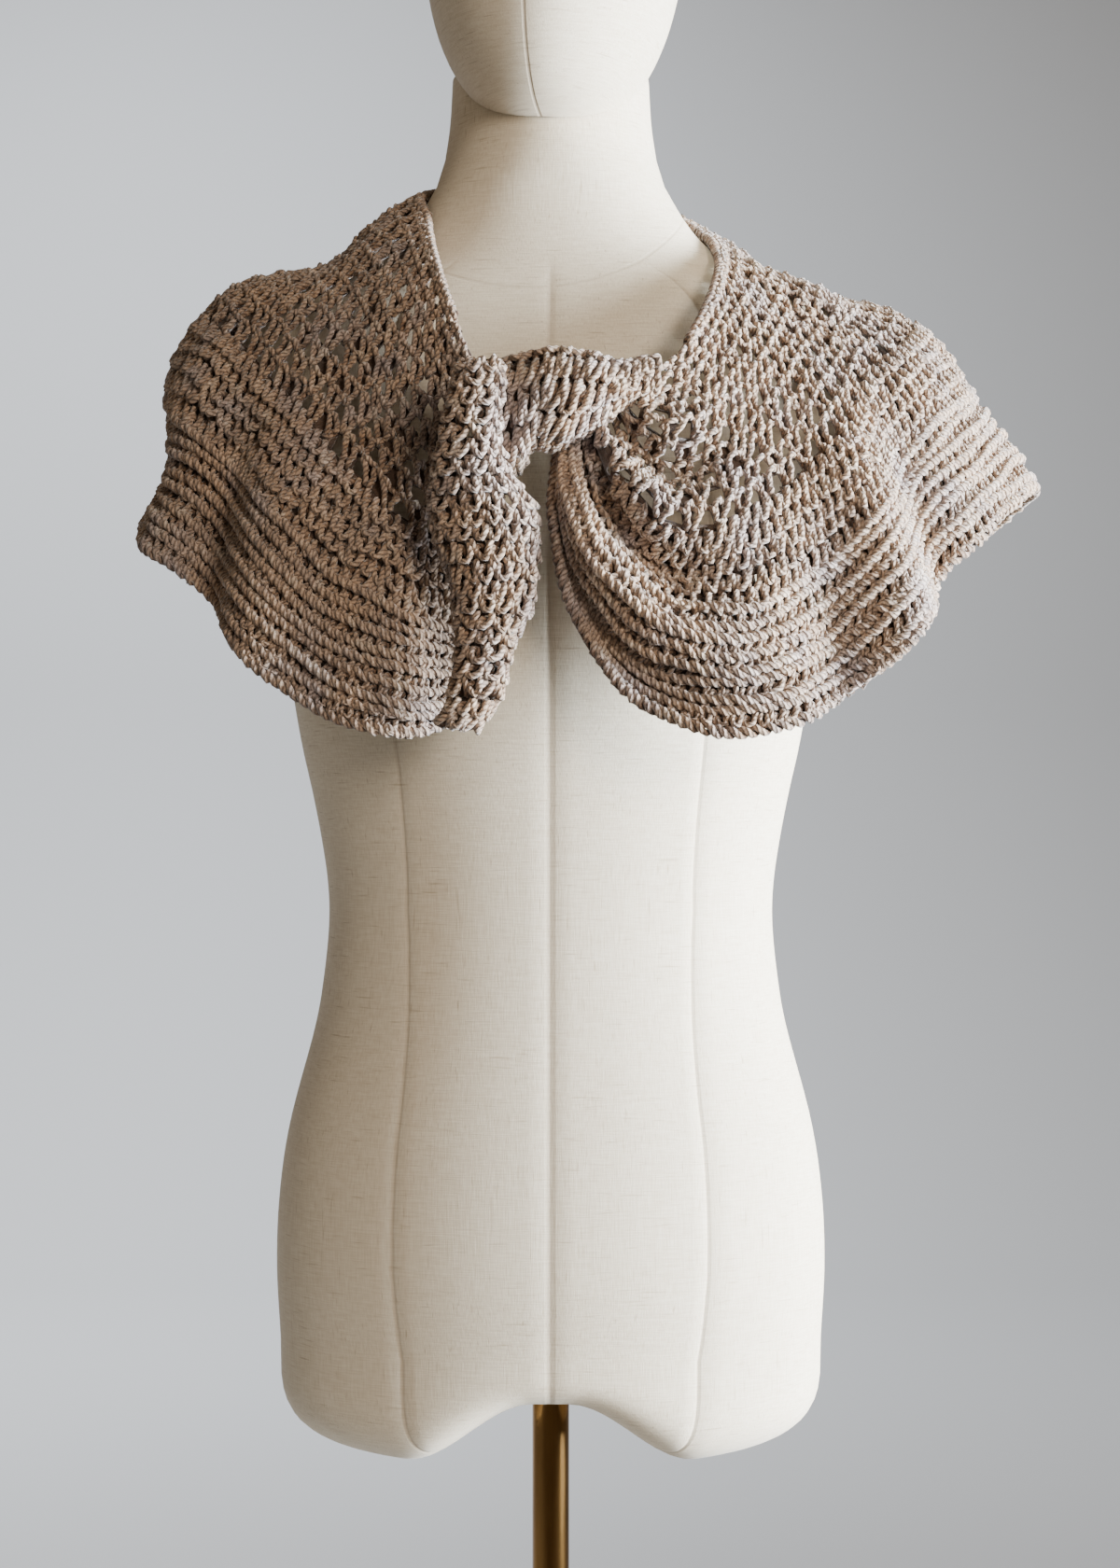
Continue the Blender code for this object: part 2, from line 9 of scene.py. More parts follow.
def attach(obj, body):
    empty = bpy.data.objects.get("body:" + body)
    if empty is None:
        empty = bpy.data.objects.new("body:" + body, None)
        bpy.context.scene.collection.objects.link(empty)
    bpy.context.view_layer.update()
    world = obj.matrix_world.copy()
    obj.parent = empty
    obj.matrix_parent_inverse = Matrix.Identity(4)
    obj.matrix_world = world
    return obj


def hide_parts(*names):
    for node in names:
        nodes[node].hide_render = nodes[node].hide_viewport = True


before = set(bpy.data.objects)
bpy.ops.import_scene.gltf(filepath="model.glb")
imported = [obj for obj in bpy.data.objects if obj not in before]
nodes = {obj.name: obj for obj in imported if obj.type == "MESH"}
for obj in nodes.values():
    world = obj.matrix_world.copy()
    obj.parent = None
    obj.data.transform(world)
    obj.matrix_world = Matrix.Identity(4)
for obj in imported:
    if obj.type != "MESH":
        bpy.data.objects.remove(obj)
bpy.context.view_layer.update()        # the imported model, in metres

mm = 0.001  # tables here are in millimetres, as in the part's source
seamGap = 0.3
sharpAngle = math.radians(40)
rng = np.random.default_rng(11)


# small maths helpers

def smoothStep(low, high, value):
    share = np.clip((value - low) / (high - low), 0.0, 1.0)
    return share * share * (3 - 2 * share)


def unit(vectors):
    return vectors / np.maximum(np.linalg.norm(vectors, axis=-1, keepdims=True), 1e-9)


def spline(rows, places):
    # a smooth curve through the rows, read at places counted in rows
    rows = np.asarray(rows, float)
    places = np.clip(np.asarray(places, float), 0, len(rows) - 1)
    first = np.minimum(places.astype(int), len(rows) - 2)
    share = places - first
    share = share.reshape(share.shape + (1,) * (rows.ndim - 1))
    ends = np.concatenate([[2 * rows[0] - rows[1]], rows, [2 * rows[-1] - rows[-2]]])
    before, here, there, after = (ends[first + k] for k in range(4))
    return 0.5 * (2 * here + (there - before) * share
                  + (2 * before - 5 * here + 4 * there - after) * share**2
                  + (3 * here - before - 3 * there + after) * share**3)


def gridNormals(grid):
    return unit(np.cross(np.gradient(grid, axis=1), np.gradient(grid, axis=0)))


# meshes from arrays

def meshObject(name, points, quads, caps=(), uv=None, marks=None):
    # quads is an array of four-cornered faces, caps a list of faces with more corners
    mesh = bpy.data.meshes.new(name)
    quads = np.asarray(quads, np.int32).reshape(-1, 4)
    corners = [quads.ravel()] + [np.asarray(c, np.int32) for c in caps]
    totals = np.concatenate([np.full(len(quads), 4), [len(c) for c in caps]]).astype(np.int32)
    loops = np.concatenate(corners)
    mesh.vertices.add(len(points))
    mesh.vertices.foreach_set("co", (np.asarray(points) * mm).astype(np.float32).ravel())
    mesh.loops.add(len(loops))
    mesh.loops.foreach_set("vertex_index", loops)
    mesh.polygons.add(len(totals))
    mesh.polygons.foreach_set("loop_start", np.concatenate([[0], np.cumsum(totals)[:-1]]).astype(np.int32))
    mesh.update(calc_edges=True)
    if uv is not None:
        layer = mesh.uv_layers.new(name="lay")
        full = np.zeros((len(loops), 2), np.float32)
        full[:len(uv)] = uv
        layer.data.foreach_set("uv", full.ravel())
    for label, values in (marks or {}).items():
        mark = mesh.attributes.new(label, "FLOAT", "POINT")
        mark.data.foreach_set("value", np.asarray(values, np.float32))
    mesh.validate()
    mesh.shade_smooth()
    piece = bpy.data.objects.new(name, mesh)
    bpy.context.scene.collection.objects.link(piece)
    return piece


def treeOf(piece):
    points = [piece.matrix_world @ v.co / mm for v in piece.data.vertices]
    return BVHTree.FromPolygons(points, [p.vertices[:] for p in piece.data.polygons])


def strandMesh(name, strands, sides=6):
    # strands hold points, a radius and heights in the cloth: each becomes one closed round yarn
    allPoints, quads, caps, uvs, rises = [], [], [], [], []
    turn = np.arange(sides) * 2 * math.pi / sides
    cosTurn, sinTurn = np.cos(turn)[None, :, None], np.sin(turn)[None, :, None]
    start = 0
    for path, radius, heights in strands:
        # each strand's heights become the rise mark, which drives the yarn's painted shade
        rises.append(np.repeat(heights, sides))
        along = unit(np.gradient(path, axis=0))
        upList = []
        # one direction is carried along the yarn, so that its rings don't twist
        ux, uy, uz = (0.0, 0.0, 1.0) if abs(along[0, 2]) < 0.8 else (1.0, 0.0, 0.0)
        for tx, ty, tz in along.tolist():
            dot = ux * tx + uy * ty + uz * tz
            ux, uy, uz = ux - dot * tx, uy - dot * ty, uz - dot * tz
            size = math.sqrt(ux * ux + uy * uy + uz * uz) or 1.0
            ux, uy, uz = ux / size, uy / size, uz / size
            upList.append((ux, uy, uz))
        up = np.array(upList)
        side = np.cross(along, up)
        ring = cosTurn * side[:, None] + sinTurn * up[:, None]
        rings = path[:, None] + radius * ring
        count = len(path)
        step = np.linalg.norm(np.diff(path, axis=0), axis=1)
        run = np.concatenate([[0], np.cumsum(step)])
        base = start + np.arange(count - 1)[:, None] * sides
        i = np.arange(sides)[None, :]
        j = (i + 1) % sides
        quads.append(np.stack([base + i, base + j, base + sides + j, base + sides + i], -1).reshape(-1, 4))
        low = np.broadcast_to(run[:-1, None], (count - 1, sides))
        high = np.broadcast_to(run[1:, None], (count - 1, sides))
        left = np.broadcast_to(i / sides, low.shape)
        right = left + 1 / sides
        uvs.append(np.stack([low, left, low, right, high, right, high, left], -1).reshape(-1, 2))
        caps.append(list(range(start + sides - 1, start - 1, -1)))
        caps.append(list(range(start + (count - 1) * sides, start + count * sides)))
        allPoints.append(rings.reshape(-1, 3))
        start += count * sides
    return meshObject(name, np.concatenate(allPoints), np.concatenate(quads), caps, np.concatenate(uvs),
                      {"rise": np.concatenate(rises)})


# the cape's surface, from the same sections and folds as the part

capeSections = (
    # neck edge, bend, hem, from the left front edge round the back to the right knot end
    ((-42, -126, 1360), (-50, -122, 1270), (-49, -129, 1164)),
    ((-50, -113, 1380), (-76, -138, 1290), (-84, -145, 1158)),
    ((-59, -90, 1406), (-102, -130, 1315), (-136, -139, 1182)),
    ((-66, -59, 1432), (-150, -98, 1378), (-173, -118, 1217)),
    ((-70, -25, 1455), (-200, -46, 1420), (-217, -72, 1262)),
    ((-73, 8, 1469), (-222, 8, 1440), (-238, 0, 1282)),
    ((-59, 49, 1480), (-186, 74, 1430), (-213, 93, 1262)),
    ((-33, 74, 1486), (-105, 122, 1400), (-126, 141, 1235)),
    ((0, 83, 1488), (0, 131, 1395), (0, 149, 1226)),
    ((34, 75, 1482), (108, 124, 1398), (132, 144, 1236)),
    ((64, 49, 1470), (188, 74, 1428), (235, 96, 1270)),
    ((84, 6, 1452), (220, 8, 1434), (272, 0, 1298)),
    ((93, -42, 1427), (188, -62, 1395), (224, -92, 1258)),
    ((90, -76, 1405), (146, -112, 1340), (180, -132, 1198)),
    ((81, -102, 1382), (106, -146, 1295), (114, -154, 1161)),
    ((70, -122, 1362), (74, -156, 1278), (50, -158, 1171)),
    ((60, -130, 1350), (48, -156, 1295), (13, -156, 1216)),
    ((52, -133, 1349), (32, -149, 1314), (1, -148, 1266)),
    ((46, -129, 1348), (24, -136, 1330), (3, -134, 1306)),
)
capeFolds = (
    # place among the sections, width, height out of the cloth, where down the cloth it starts
    (1.1, 0.55, 5, 0.35),
    (2.55, 0.42, 8, 0.30),
    (3.30, 0.30, -15, 0.45),
    (3.85, 0.40, 8, 0.40),
    (4.75, 0.35, -7, 0.55),
    (5.60, 0.40, 9, 0.40),
    (6.35, 0.35, -11, 0.40),
    (7.00, 0.33, 8, 0.35),
    (7.60, 0.28, -9, 0.45),
    (8.15, 0.35, 7, 0.30),
    (8.85, 0.33, -11, 0.38),
    (9.45, 0.33, 9, 0.45),
    (10.05, 0.34, -10, 0.40),
    (10.75, 0.36, 8, 0.50),
    (12.25, 0.30, -15, 0.30),
    (12.85, 0.28, 13, 0.25),
    (13.45, 0.20, -9, 0.60),
    (14.30, 0.80, 9, 0.15),
)
capeHollows = (
    # place, width, height, how far down, reach up and down
    (5.0, 1.30, -24, 0.24, 0.15),
    (4.9, 1.20, -19, 0.88, 0.11),
    (11.0, 1.30, -25, 0.26, 0.20),
    (11.0, 1.00, -8, 0.80, 0.16),
)
gather = {"start": 13.7, "full": 15.6, "fade": 17.9, "loss": 0.75, "height": 12.0, "waves": 3.6,
          "phase": 0.36, "top": (0.05, 0.3)}
# laceStart, laceEnd and ribStart are shares down the cloth, backSeam and shortEnd places among the sections
cape = {"span": len(capeSections) - 1, "columns": 541, "rows": 121, "laceStart": 0.015, "laceEnd": 0.55,
        "ribStart": 0.755, "backSeam": 8, "shortEnd": 16.3, "clearance": 3.3, "waver": 0.0055}
waverWaves = ((1.0, 3.1, 9, 0.0), (0.8, 6.7, -17, 1.7))  # size, waves across and down, start


def capeGrid(places, downs, tree):
    place, down = np.meshgrid(places, downs)
    # rows of hand work waver a little
    waver = sum(size * np.sin(a * place + b * down + start) for size, a, b, start in waverWaves)
    down = down + cape["waver"] * waver * np.sin(math.pi * down)
    neck, bend, hem = (spline([s[k] for s in capeSections], place) for k in (0, 1, 2))
    share = down[..., None]
    flat = neck * (1 - share) ** 2 + 2 * bend * share * (1 - share) + hem * share**2
    height = np.zeros(place.shape)
    for centre, width, rise, begins in capeFolds:
        height += rise * np.exp(-(((place - centre) / width) ** 2)) * smoothStep(begins, 1.0, down)
    for centre, width, rise, level, reach in capeHollows:
        height += rise * np.exp(-(((place - centre) / width) ** 2) - ((down - level) / reach) ** 2)
    pull = smoothStep(gather["start"], gather["full"], place)
    pull *= 1 - gather["loss"] * smoothStep(gather["full"], gather["fade"], place)
    wave = np.sin(2 * math.pi * (gather["waves"] * down + gather["phase"]))
    height += gather["height"] * pull * wave * smoothStep(*gather["top"], down)
    folded = flat + gridNormals(flat) * height[..., None]
    return restOn(folded, tree, cape["clearance"])


def restOn(points, tree, clearance):
    moved = np.array(points, float)
    rows = moved.reshape(-1, 3)
    for i, point in enumerate(rows.tolist()):
        place, normal, _, _ = tree.find_nearest(Vector(point))
        if (Vector(point) - place).dot(normal) < clearance:
            rows[i] = place + normal * clearance
    return moved


class Cloth:
    # a cloth's middle surface on a fine grid, read at any place across and down it
    def __init__(self, grid):
        self.grid = grid
        self.normals = gridNormals(grid)
        self.rows, self.columns = grid.shape[:2]

    def at(self, across, down, height=0.0):
        column = np.clip(across, 0, 1) * (self.columns - 1)
        row = np.clip(down, 0, 1) * (self.rows - 1)
        c0 = np.minimum(column.astype(int), self.columns - 2)
        r0 = np.minimum(row.astype(int), self.rows - 2)
        fc, fr = (column - c0)[..., None], (row - r0)[..., None]

        def mixed(values):
            top = values[r0, c0] * (1 - fc) + values[r0, c0 + 1] * fc
            low = values[r0 + 1, c0] * (1 - fc) + values[r0 + 1, c0 + 1] * fc
            return top * (1 - fr) + low * fr
        # past the last row the cloth goes on in its own direction
        past = (np.asarray(down) - np.clip(down, 0, 1))[..., None] * (self.rows - 1)
        end = np.where(np.asarray(down)[..., None] > 0.5,
                       self.grid[-1, c0] - self.grid[-2, c0], self.grid[1, c0] - self.grid[0, c0])
        return mixed(self.grid) + unit(mixed(self.normals)) * np.asarray(height)[..., None] + end * past

    def ruler(self, down, first, last):
        # distances along a row between two places across, and those places
        across = np.linspace(first, last, 500)
        line = self.at(across, np.full(500, float(down)))
        run = np.concatenate([[0], np.cumsum(np.linalg.norm(np.diff(line, axis=0), axis=1))])
        return run, across


# stitches

# jitter is across, down and in height; the pairs of numbers are ranges
stitch = {"jitter": (0.075, 0.06, 0.4), "stem": (0.05, 0.3), "slim": (0.8, 1.12), "axis": 0.45,
          "tilt": 0.14, "lean": (0.65, 1.3), "foot": (0.1, 1.0), "wobble": 0.11, "wave": (1.8, 3.2),
          "slip": 0.04, "lift": 0.35}
# one stitch: across and down in shares of its cell, height in millimetres
tallStitch = np.array([
    (-0.06, 0.02, 1.0), (0.20, -0.14, 3.2), (0.54, 0.02, 1.4),
    (0.30, 0.25, 2.2), (0.60, 0.52, 0.8), (0.34, 0.78, 2.0),
    (0.50, 1.02, 0.6), (0.68, 1.00, -1.0),
    (0.66, 0.70, 0.2), (0.38, 0.40, 0.6), (0.70, 0.22, 2.2), (0.60, 0.06, 0.6),
    (0.84, -0.06, 0.4),
])
loopStitch = np.array([
    (0.06, 0.04, 0.2), (-0.06, 0.46, 2.1), (0.18, 0.98, 3.3), (0.62, 0.92, 2.7), (0.70, 0.46, 1.7),
    (0.36, 0.28, -0.2), (0.30, 0.76, -1.2), (0.66, 1.14, -0.9), (0.92, 0.70, 1.2), (0.86, 0.06, 2.2),
])


def stitchRow(cloth, down0, down1, first, last, kind, offset):
    # one worked row: pairs of stitches lean together at their feet by the kind's spread
    run, places = cloth.ruler((down0 + down1) / 2, first, last)
    count = max(2, 2 * round(run[-1] / kind["pitch"] / 2))
    size = run[-1] / count
    template = np.broadcast_to(kind["shape"], (count,) + kind["shape"].shape).copy()
    stem = smoothStep(*stitch["stem"], template[..., 1])
    slim = kind["slim"] * rng.uniform(*stitch["slim"], (count, 1))
    narrowed = (template[..., 0] - stitch["axis"]) * (1 - (1 - slim) * stem)
    template[..., 0] = stitch["axis"] + narrowed
    template[..., 2] *= kind["rise"]
    template[..., 0] += (template[..., 1] - 0.5) * rng.normal(0, stitch["tilt"], (count, 1))
    partner = np.where((np.arange(count) + offset) % 2 == 0, 1.0, -1.0)[:, None]
    lean = kind["spread"] * rng.uniform(*stitch["lean"], (count, 1))
    template[..., 0] += partner * lean * smoothStep(*stitch["foot"], template[..., 1])
    for axis, jitter in enumerate(stitch["jitter"]):
        template[..., axis] += rng.normal(0, jitter, template.shape[:2])
    wave = np.arange(count) / rng.uniform(*stitch["wave"]) + rng.uniform(0, 6)
    template[..., 1] += stitch["wobble"] * np.sin(wave)[:, None]
    slip = np.cumsum(rng.normal(0, stitch["slip"], count))
    slip -= np.linspace(slip[0], slip[-1], count)
    template[..., 0] += np.arange(count)[:, None] + slip[:, None]
    template[..., 2] += rng.normal(0, stitch["lift"], (count, 1))
    path = template.reshape(-1, 3)
    path = spline(path, np.linspace(0, len(path) - 1, count * kind["points"]))
    across = np.interp(path[:, 0] * size, run, places)
    down = down0 + path[:, 1] * (down1 - down0)
    return (cloth.at(across, down, path[:, 2]), kind["yarn"], path[:, 2]), count, (run, places, size)


backing = {"half": 0.45, "lift": -1.2, "jitter": 0.06}


def shellStrip(cloth, down0, down1, rulerData, count, offset, kind):
    # the thin cloth behind one row, cut through between its pairs of stitches; it is coloured as a dark
    # sheet of painted shade behind the stitches
    run, places, size = rulerData
    edges = [0.0]
    middle = kind["width"] / 2
    for i in range(count + 1):
        if (i + offset) % 2 == 0 and 0 < i < count:
            edges += [i - middle, i + middle]
    edges.append(float(count))
    edges = np.array(edges)
    levels = np.array([0.0, kind["top"], kind["bottom"], 1.0])
    across = np.broadcast_to(edges, (4, len(edges))).copy()
    middles = (edges[1:-1:2] + edges[2:-1:2]) / 2
    across[1, 1:-1:2] = middles - middle * kind["narrow"]
    across[1, 2:-1:2] = middles + middle * kind["narrow"]
    across[1:3, 1:-1] += rng.normal(0, backing["jitter"], (2, len(edges) - 2))
    down = down0 + levels[:, None] * (down1 - down0) + np.zeros(across.shape)
    where = np.interp(across * size, run, places)
    outer = cloth.at(where, down, np.full(across.shape, backing["lift"] + backing["half"]))
    inner = cloth.at(where, down, np.full(across.shape, backing["lift"] - backing["half"]))
    columns = len(edges)
    holes = {c for c in range(1, columns - 2, 2) if rng.random() < kind["open"]}
    outFace = np.arange(4 * columns).reshape(4, columns)
    inFace = outFace + 4 * columns
    quads = []
    for r in range(3):
        for c in range(columns - 1):
            if r == 1 and c in holes:
                corners = ((1, c), (1, c + 1), (2, c + 1), (2, c))
                for a, b in zip(corners, corners[1:] + corners[:1]):
                    quads.append((outFace[a], outFace[b], inFace[b], inFace[a]))
                continue
            quads.append((outFace[r, c], outFace[r + 1, c], outFace[r + 1, c + 1], outFace[r, c + 1]))
            quads.append((inFace[r, c], inFace[r, c + 1], inFace[r + 1, c + 1], inFace[r + 1, c]))
    for c in range(columns - 1):
        quads.append((outFace[0, c], outFace[0, c + 1], inFace[0, c + 1], inFace[0, c]))
        quads.append((outFace[3, c], inFace[3, c], inFace[3, c + 1], outFace[3, c + 1]))
    for r in range(3):
        quads.append((outFace[r, 0], inFace[r, 0], inFace[r + 1, 0], outFace[r + 1, 0]))
        quads.append((outFace[r, -1], outFace[r + 1, -1], inFace[r + 1, -1], inFace[r, -1]))
    return np.concatenate([outer.reshape(-1, 3), inner.reshape(-1, 3)]), quads


def joinedShell(name, strips):
    points, quads, start = [], [], 0
    for stripPoints, stripQuads in strips:
        quads.append(np.array(stripQuads, np.int32) + start)
        points.append(stripPoints)
        start += len(stripPoints)
    return meshObject(name, np.concatenate(points), np.concatenate(quads))


# waves are lengths in millimetres, and uneven shares go with a smoothed noise
twine = {"points": 6, "slowWave": 31.0, "quickWave": 9.0, "quickShare": 0.4, "twistWave": 23.0,
         "twist": 0.6, "unevenTurn": 0.35, "unevenSwing": 0.3, "unevenHeight": 0.4}


def rope(cloth, down, first, last, kind):
    # two strands wound round each other along a row of the cloth
    run, places = cloth.ruler(min(down, 1.0), first, last)
    count = int(run[-1] / (kind["lay"] / twine["points"]))
    along = np.linspace(0, run[-1], count)
    across = np.interp(along, run, places)
    depth = cloth.at(np.full(9, (first + last) / 2), np.linspace(0, 1, 9))
    length = np.linalg.norm(np.diff(depth, axis=0), axis=1).sum()
    drift = kind["wander"] * np.sin(along / twine["slowWave"] + rng.uniform(0, 6))
    drift += twine["quickShare"] * kind["wander"] * np.sin(along / twine["quickWave"])
    strands = []
    for turn in (0, math.pi):
        uneven = np.convolve(rng.normal(0, 1.0, count), np.ones(5) / 5, "same")
        angle = (2 * math.pi * along / kind["lay"] + turn
                 + twine["twist"] * np.sin(along / twine["twistWave"]) + twine["unevenTurn"] * uneven)
        sideways = kind["swing"] * (1 + twine["unevenSwing"] * uneven) * np.cos(angle) + drift
        height = kind["lift"] + kind["swing"] * np.sin(angle) + twine["unevenHeight"] * uneven
        strands.append((cloth.at(across, down + sideways / length, height), kind["radius"], height))
    return strands


# materials

def newMaterial(name):
    material = bpy.data.materials.new(name)
    material.use_nodes = True
    tree = material.node_tree
    return material, tree, tree.nodes["Principled BSDF"]


def addNode(tree, kind, values=None, links=None, **settings):
    node = tree.nodes.new(kind)
    for key, value in settings.items():
        setattr(node, key, value)
    for key, value in (values or {}).items():
        node.inputs[key].default_value = value
    for key, source in (links or {}).items():
        tree.links.new(source, node.inputs[key])
    return node


def maths(tree, operation, first, second=None, clamp=False):
    node = tree.nodes.new("ShaderNodeMath")
    node.operation = operation
    node.use_clamp = clamp
    for index, value in enumerate((first, second)):
        if value is None:
            continue
        if isinstance(value, (int, float)):
            node.inputs[index].default_value = value
        else:
            tree.links.new(value, node.inputs[index])
    return node.outputs[0]


def ramp(tree, value, stops):
    node = tree.nodes.new("ShaderNodeValToRGB")
    while len(node.color_ramp.elements) < len(stops):
        node.color_ramp.elements.new(0.5)
    for element, (place, colour) in zip(node.color_ramp.elements, stops):
        element.position = place
        element.color = (*colour, 1)
    tree.links.new(value, node.inputs[0])
    return node.outputs[0]


def mixColours(tree, share, first, second, blend="MIX"):
    node = tree.nodes.new("ShaderNodeMix")
    node.data_type = "RGBA"
    node.blend_type = blend
    for socket, value in ((node.inputs[0], share), (node.inputs[6], first), (node.inputs[7], second)):
        if isinstance(value, (int, float)):
            socket.default_value = value
        elif isinstance(value, tuple):
            socket.default_value = (*value, 1)
        else:
            tree.links.new(value, socket)
    return node.outputs[2]


def noise(tree, place, **values):
    return addNode(tree, "ShaderNodeTexNoise", values, {"Vector": place}).outputs[0]


def scaled(tree, place, factors):
    return addNode(tree, "ShaderNodeVectorMath", {1: factors}, {0: place}, operation="MULTIPLY").outputs[0]


def mapRange(tree, value, low, high, bottom=0.0, top=1.0):
    values = {"From Min": low, "From Max": high, "To Min": bottom, "To Max": top}
    return addNode(tree, "ShaderNodeMapRange", values, {"Value": value}).outputs[0]


def newGroup(name, **outputs):
    # a group that takes a place and gives the outputs named
    group = bpy.data.node_groups.new(name, "ShaderNodeTree")
    group.interface.new_socket("Place", in_out="INPUT", socket_type="NodeSocketVector")
    for label, kind in outputs.items():
        group.interface.new_socket(label, in_out="OUTPUT", socket_type="NodeSocket" + kind)
    return group, group.nodes.new("NodeGroupInput").outputs[0], group.nodes.new("NodeGroupOutput").inputs


def finishShader(tree, shader, links, values):
    for key, source in links.items():
        tree.links.new(source, shader.inputs[key])
    for key, value in values.items():
        shader.inputs[key].default_value = value


heather = {
    "taupe": (0.265, 0.200, 0.162), "mauve": (0.312, 0.272, 0.285), "tan": (0.345, 0.238, 0.165),
    "cream": (0.50, 0.43, 0.36), "brown": (0.135, 0.088, 0.062),
}
# plyTurn is in millimetres, and deep and high are the heights where the yarn's painted shade is darkest and
# its painted highlight lightest
yarn = {"lengthShare": 0.42, "plyTurn": 3.1, "plies": 3.0, "deep": -1.6, "high": 3.4, "fuzz": 0.5}


def heatherGroup():
    # the yarn's mixed fibres: slow patches, lengths of yarn and single fibres
    group, place, out = newGroup("heatherColour", Colour="Color", Fibre="Float")
    patch = noise(group, place, Scale=22.0, Detail=3.0)
    length = noise(group, place, Scale=95.0, Detail=2.0)
    fibre = noise(group, place, Scale=900.0, Detail=3.0, Roughness=0.7)
    slow = ramp(group, patch, ((0.34, heather["mauve"]), (0.47, heather["taupe"]),
                               (0.60, heather["tan"]), (0.72, heather["mauve"])))
    quick = ramp(group, length, ((0.32, heather["brown"]), (0.44, heather["taupe"]),
                                 (0.55, heather["tan"]), (0.68, heather["cream"])))
    base = mixColours(group, yarn["lengthShare"], slow, quick)
    light = ramp(group, fibre, ((0.30, (0.55, 0.52, 0.50)), (0.70, (1.45, 1.45, 1.42))))
    group.links.new(mixColours(group, 1.0, base, light, "MULTIPLY"), out[0])
    group.links.new(fibre, out[1])
    return group


def yarnMaterials():
    group = heatherGroup()
    made = {}
    for name in ("yarnStrand", "yarnBackPaintedShade"):
        material, tree, shader = newMaterial(name)
        place = addNode(tree, "ShaderNodeTexCoord").outputs["Object"]
        fibres = addNode(tree, "ShaderNodeGroup", node_tree=group)
        tree.links.new(place, fibres.inputs[0])
        if name == "yarnStrand":
            # three plies wound round the strand, as grooves and crowns in the bump, with painted shade in
            # the grooves and a painted highlight on the crowns
            lay = addNode(tree, "ShaderNodeUVMap", uv_map="lay")
            split = addNode(tree, "ShaderNodeSeparateXYZ", None, {"Vector": lay.outputs[0]})
            turns = maths(tree, "MULTIPLY", split.outputs["X"], 1 / yarn["plyTurn"])
            around = maths(tree, "MULTIPLY", split.outputs["Y"], yarn["plies"])
            phase = maths(tree, "FRACT", maths(tree, "ADD", turns, around))
            crown = maths(tree, "SINE", maths(tree, "MULTIPLY", phase, math.pi))
            plyShadeAndHighlight = ramp(tree, crown, ((0.0, (0.28, 0.225, 0.19)), (0.5, (0.86, 0.84, 0.82)),
                                      (1.0, (1.20, 1.20, 1.20))))
            # painted shade: yarn deep in the cloth is coloured darker and browner than the loops on top,
            # with a painted highlight on the highest loops
            rise = addNode(tree, "ShaderNodeAttribute", attribute_name="rise").outputs["Fac"]
            depth = mapRange(tree, rise, yarn["deep"], yarn["high"])
            shade = ramp(tree, depth, ((0.0, (0.16, 0.11, 0.08)), (0.35, (0.50, 0.42, 0.36)),
                                       (0.65, (0.92, 0.90, 0.88)), (1.0, (1.12, 1.13, 1.14))))
            colour = mixColours(tree, 1.0, fibres.outputs[0], plyShadeAndHighlight, "MULTIPLY")
            colour = mixColours(tree, 1.0, colour, shade, "MULTIPLY")
            height = maths(tree, "ADD", crown, maths(tree, "MULTIPLY", fibres.outputs[1], yarn["fuzz"]))
            bump = addNode(tree, "ShaderNodeBump", {"Strength": 0.8, "Distance": 0.0006}, {"Height": height})
        else:
            # the backing is the yarn darkened, a sheet of painted shade in the gaps between stitches
            colour = mixColours(tree, 1.0, fibres.outputs[0], (0.24, 0.20, 0.18), "MULTIPLY")
            bump = addNode(tree, "ShaderNodeBump", {"Strength": 0.8, "Distance": 0.0008},
                           {"Height": fibres.outputs[1]})
        finishShader(tree, shader, {"Base Color": colour, "Normal": bump.outputs[0]},
                     {"Roughness": 0.85, "Sheen Weight": 0.35, "Sheen Roughness": 0.5,
                      "Specular IOR Level": 0.25})
        made[name] = material
    return made["yarnStrand"], made["yarnBackPaintedShade"]


linenCloth = {
    "ground": (0.60, 0.51, 0.385), "pale": (0.72, 0.64, 0.51), "slub": (0.34, 0.25, 0.16), "slubScale": 0.62,
    "slubLevels": (0.66, 0.80), "slubShare": 0.55, "threads": ((90, 90, 1500), (1500, 1500, 90)),
    "seam": (0.36, 0.28, 0.20), "seamShare": 0.4,
}
# in metres: the neck's base seam is lowest at the throat, and rises to each side and behind y
neckSeam = {"x": -0.012, "curve": 4.3, "y": -0.06, "behind": 0.35, "height": 1.4025, "edge": 0.0013,
            "core": 0.0004, "share": 0.5}
headSeam = {"centre": (0.0045, -0.03, 1.632), "turn": 10, "lean": -0.0437, "edge": 0.0012, "core": 0.0004}


def linenGroup():
    # plain linen: two directions of thread, with scattered darker slubs in each
    group, place, out = newGroup("linenCloth", Colour="Color", Height="Float")
    heights, slubs = [], []
    for threads in linenCloth["threads"]:
        heights.append(noise(group, scaled(group, place, threads), Scale=1.0, Detail=2.0))
        wide = scaled(group, place, tuple(t * linenCloth["slubScale"] for t in threads))
        slubs.append(mapRange(group, noise(group, wide, Scale=1.0, Detail=1.0), *linenCloth["slubLevels"]))
    height = maths(group, "ADD", heights[0], heights[1])
    shade = ramp(group, maths(group, "MULTIPLY", height, 0.5),
                 ((0.36, linenCloth["ground"]), (0.64, linenCloth["pale"])))
    spots = maths(group, "MULTIPLY", maths(group, "ADD", slubs[0], slubs[1], True), linenCloth["slubShare"])
    group.links.new(mixColours(group, spots, shade, linenCloth["slub"]), out[0])
    group.links.new(height, out[1])
    return group


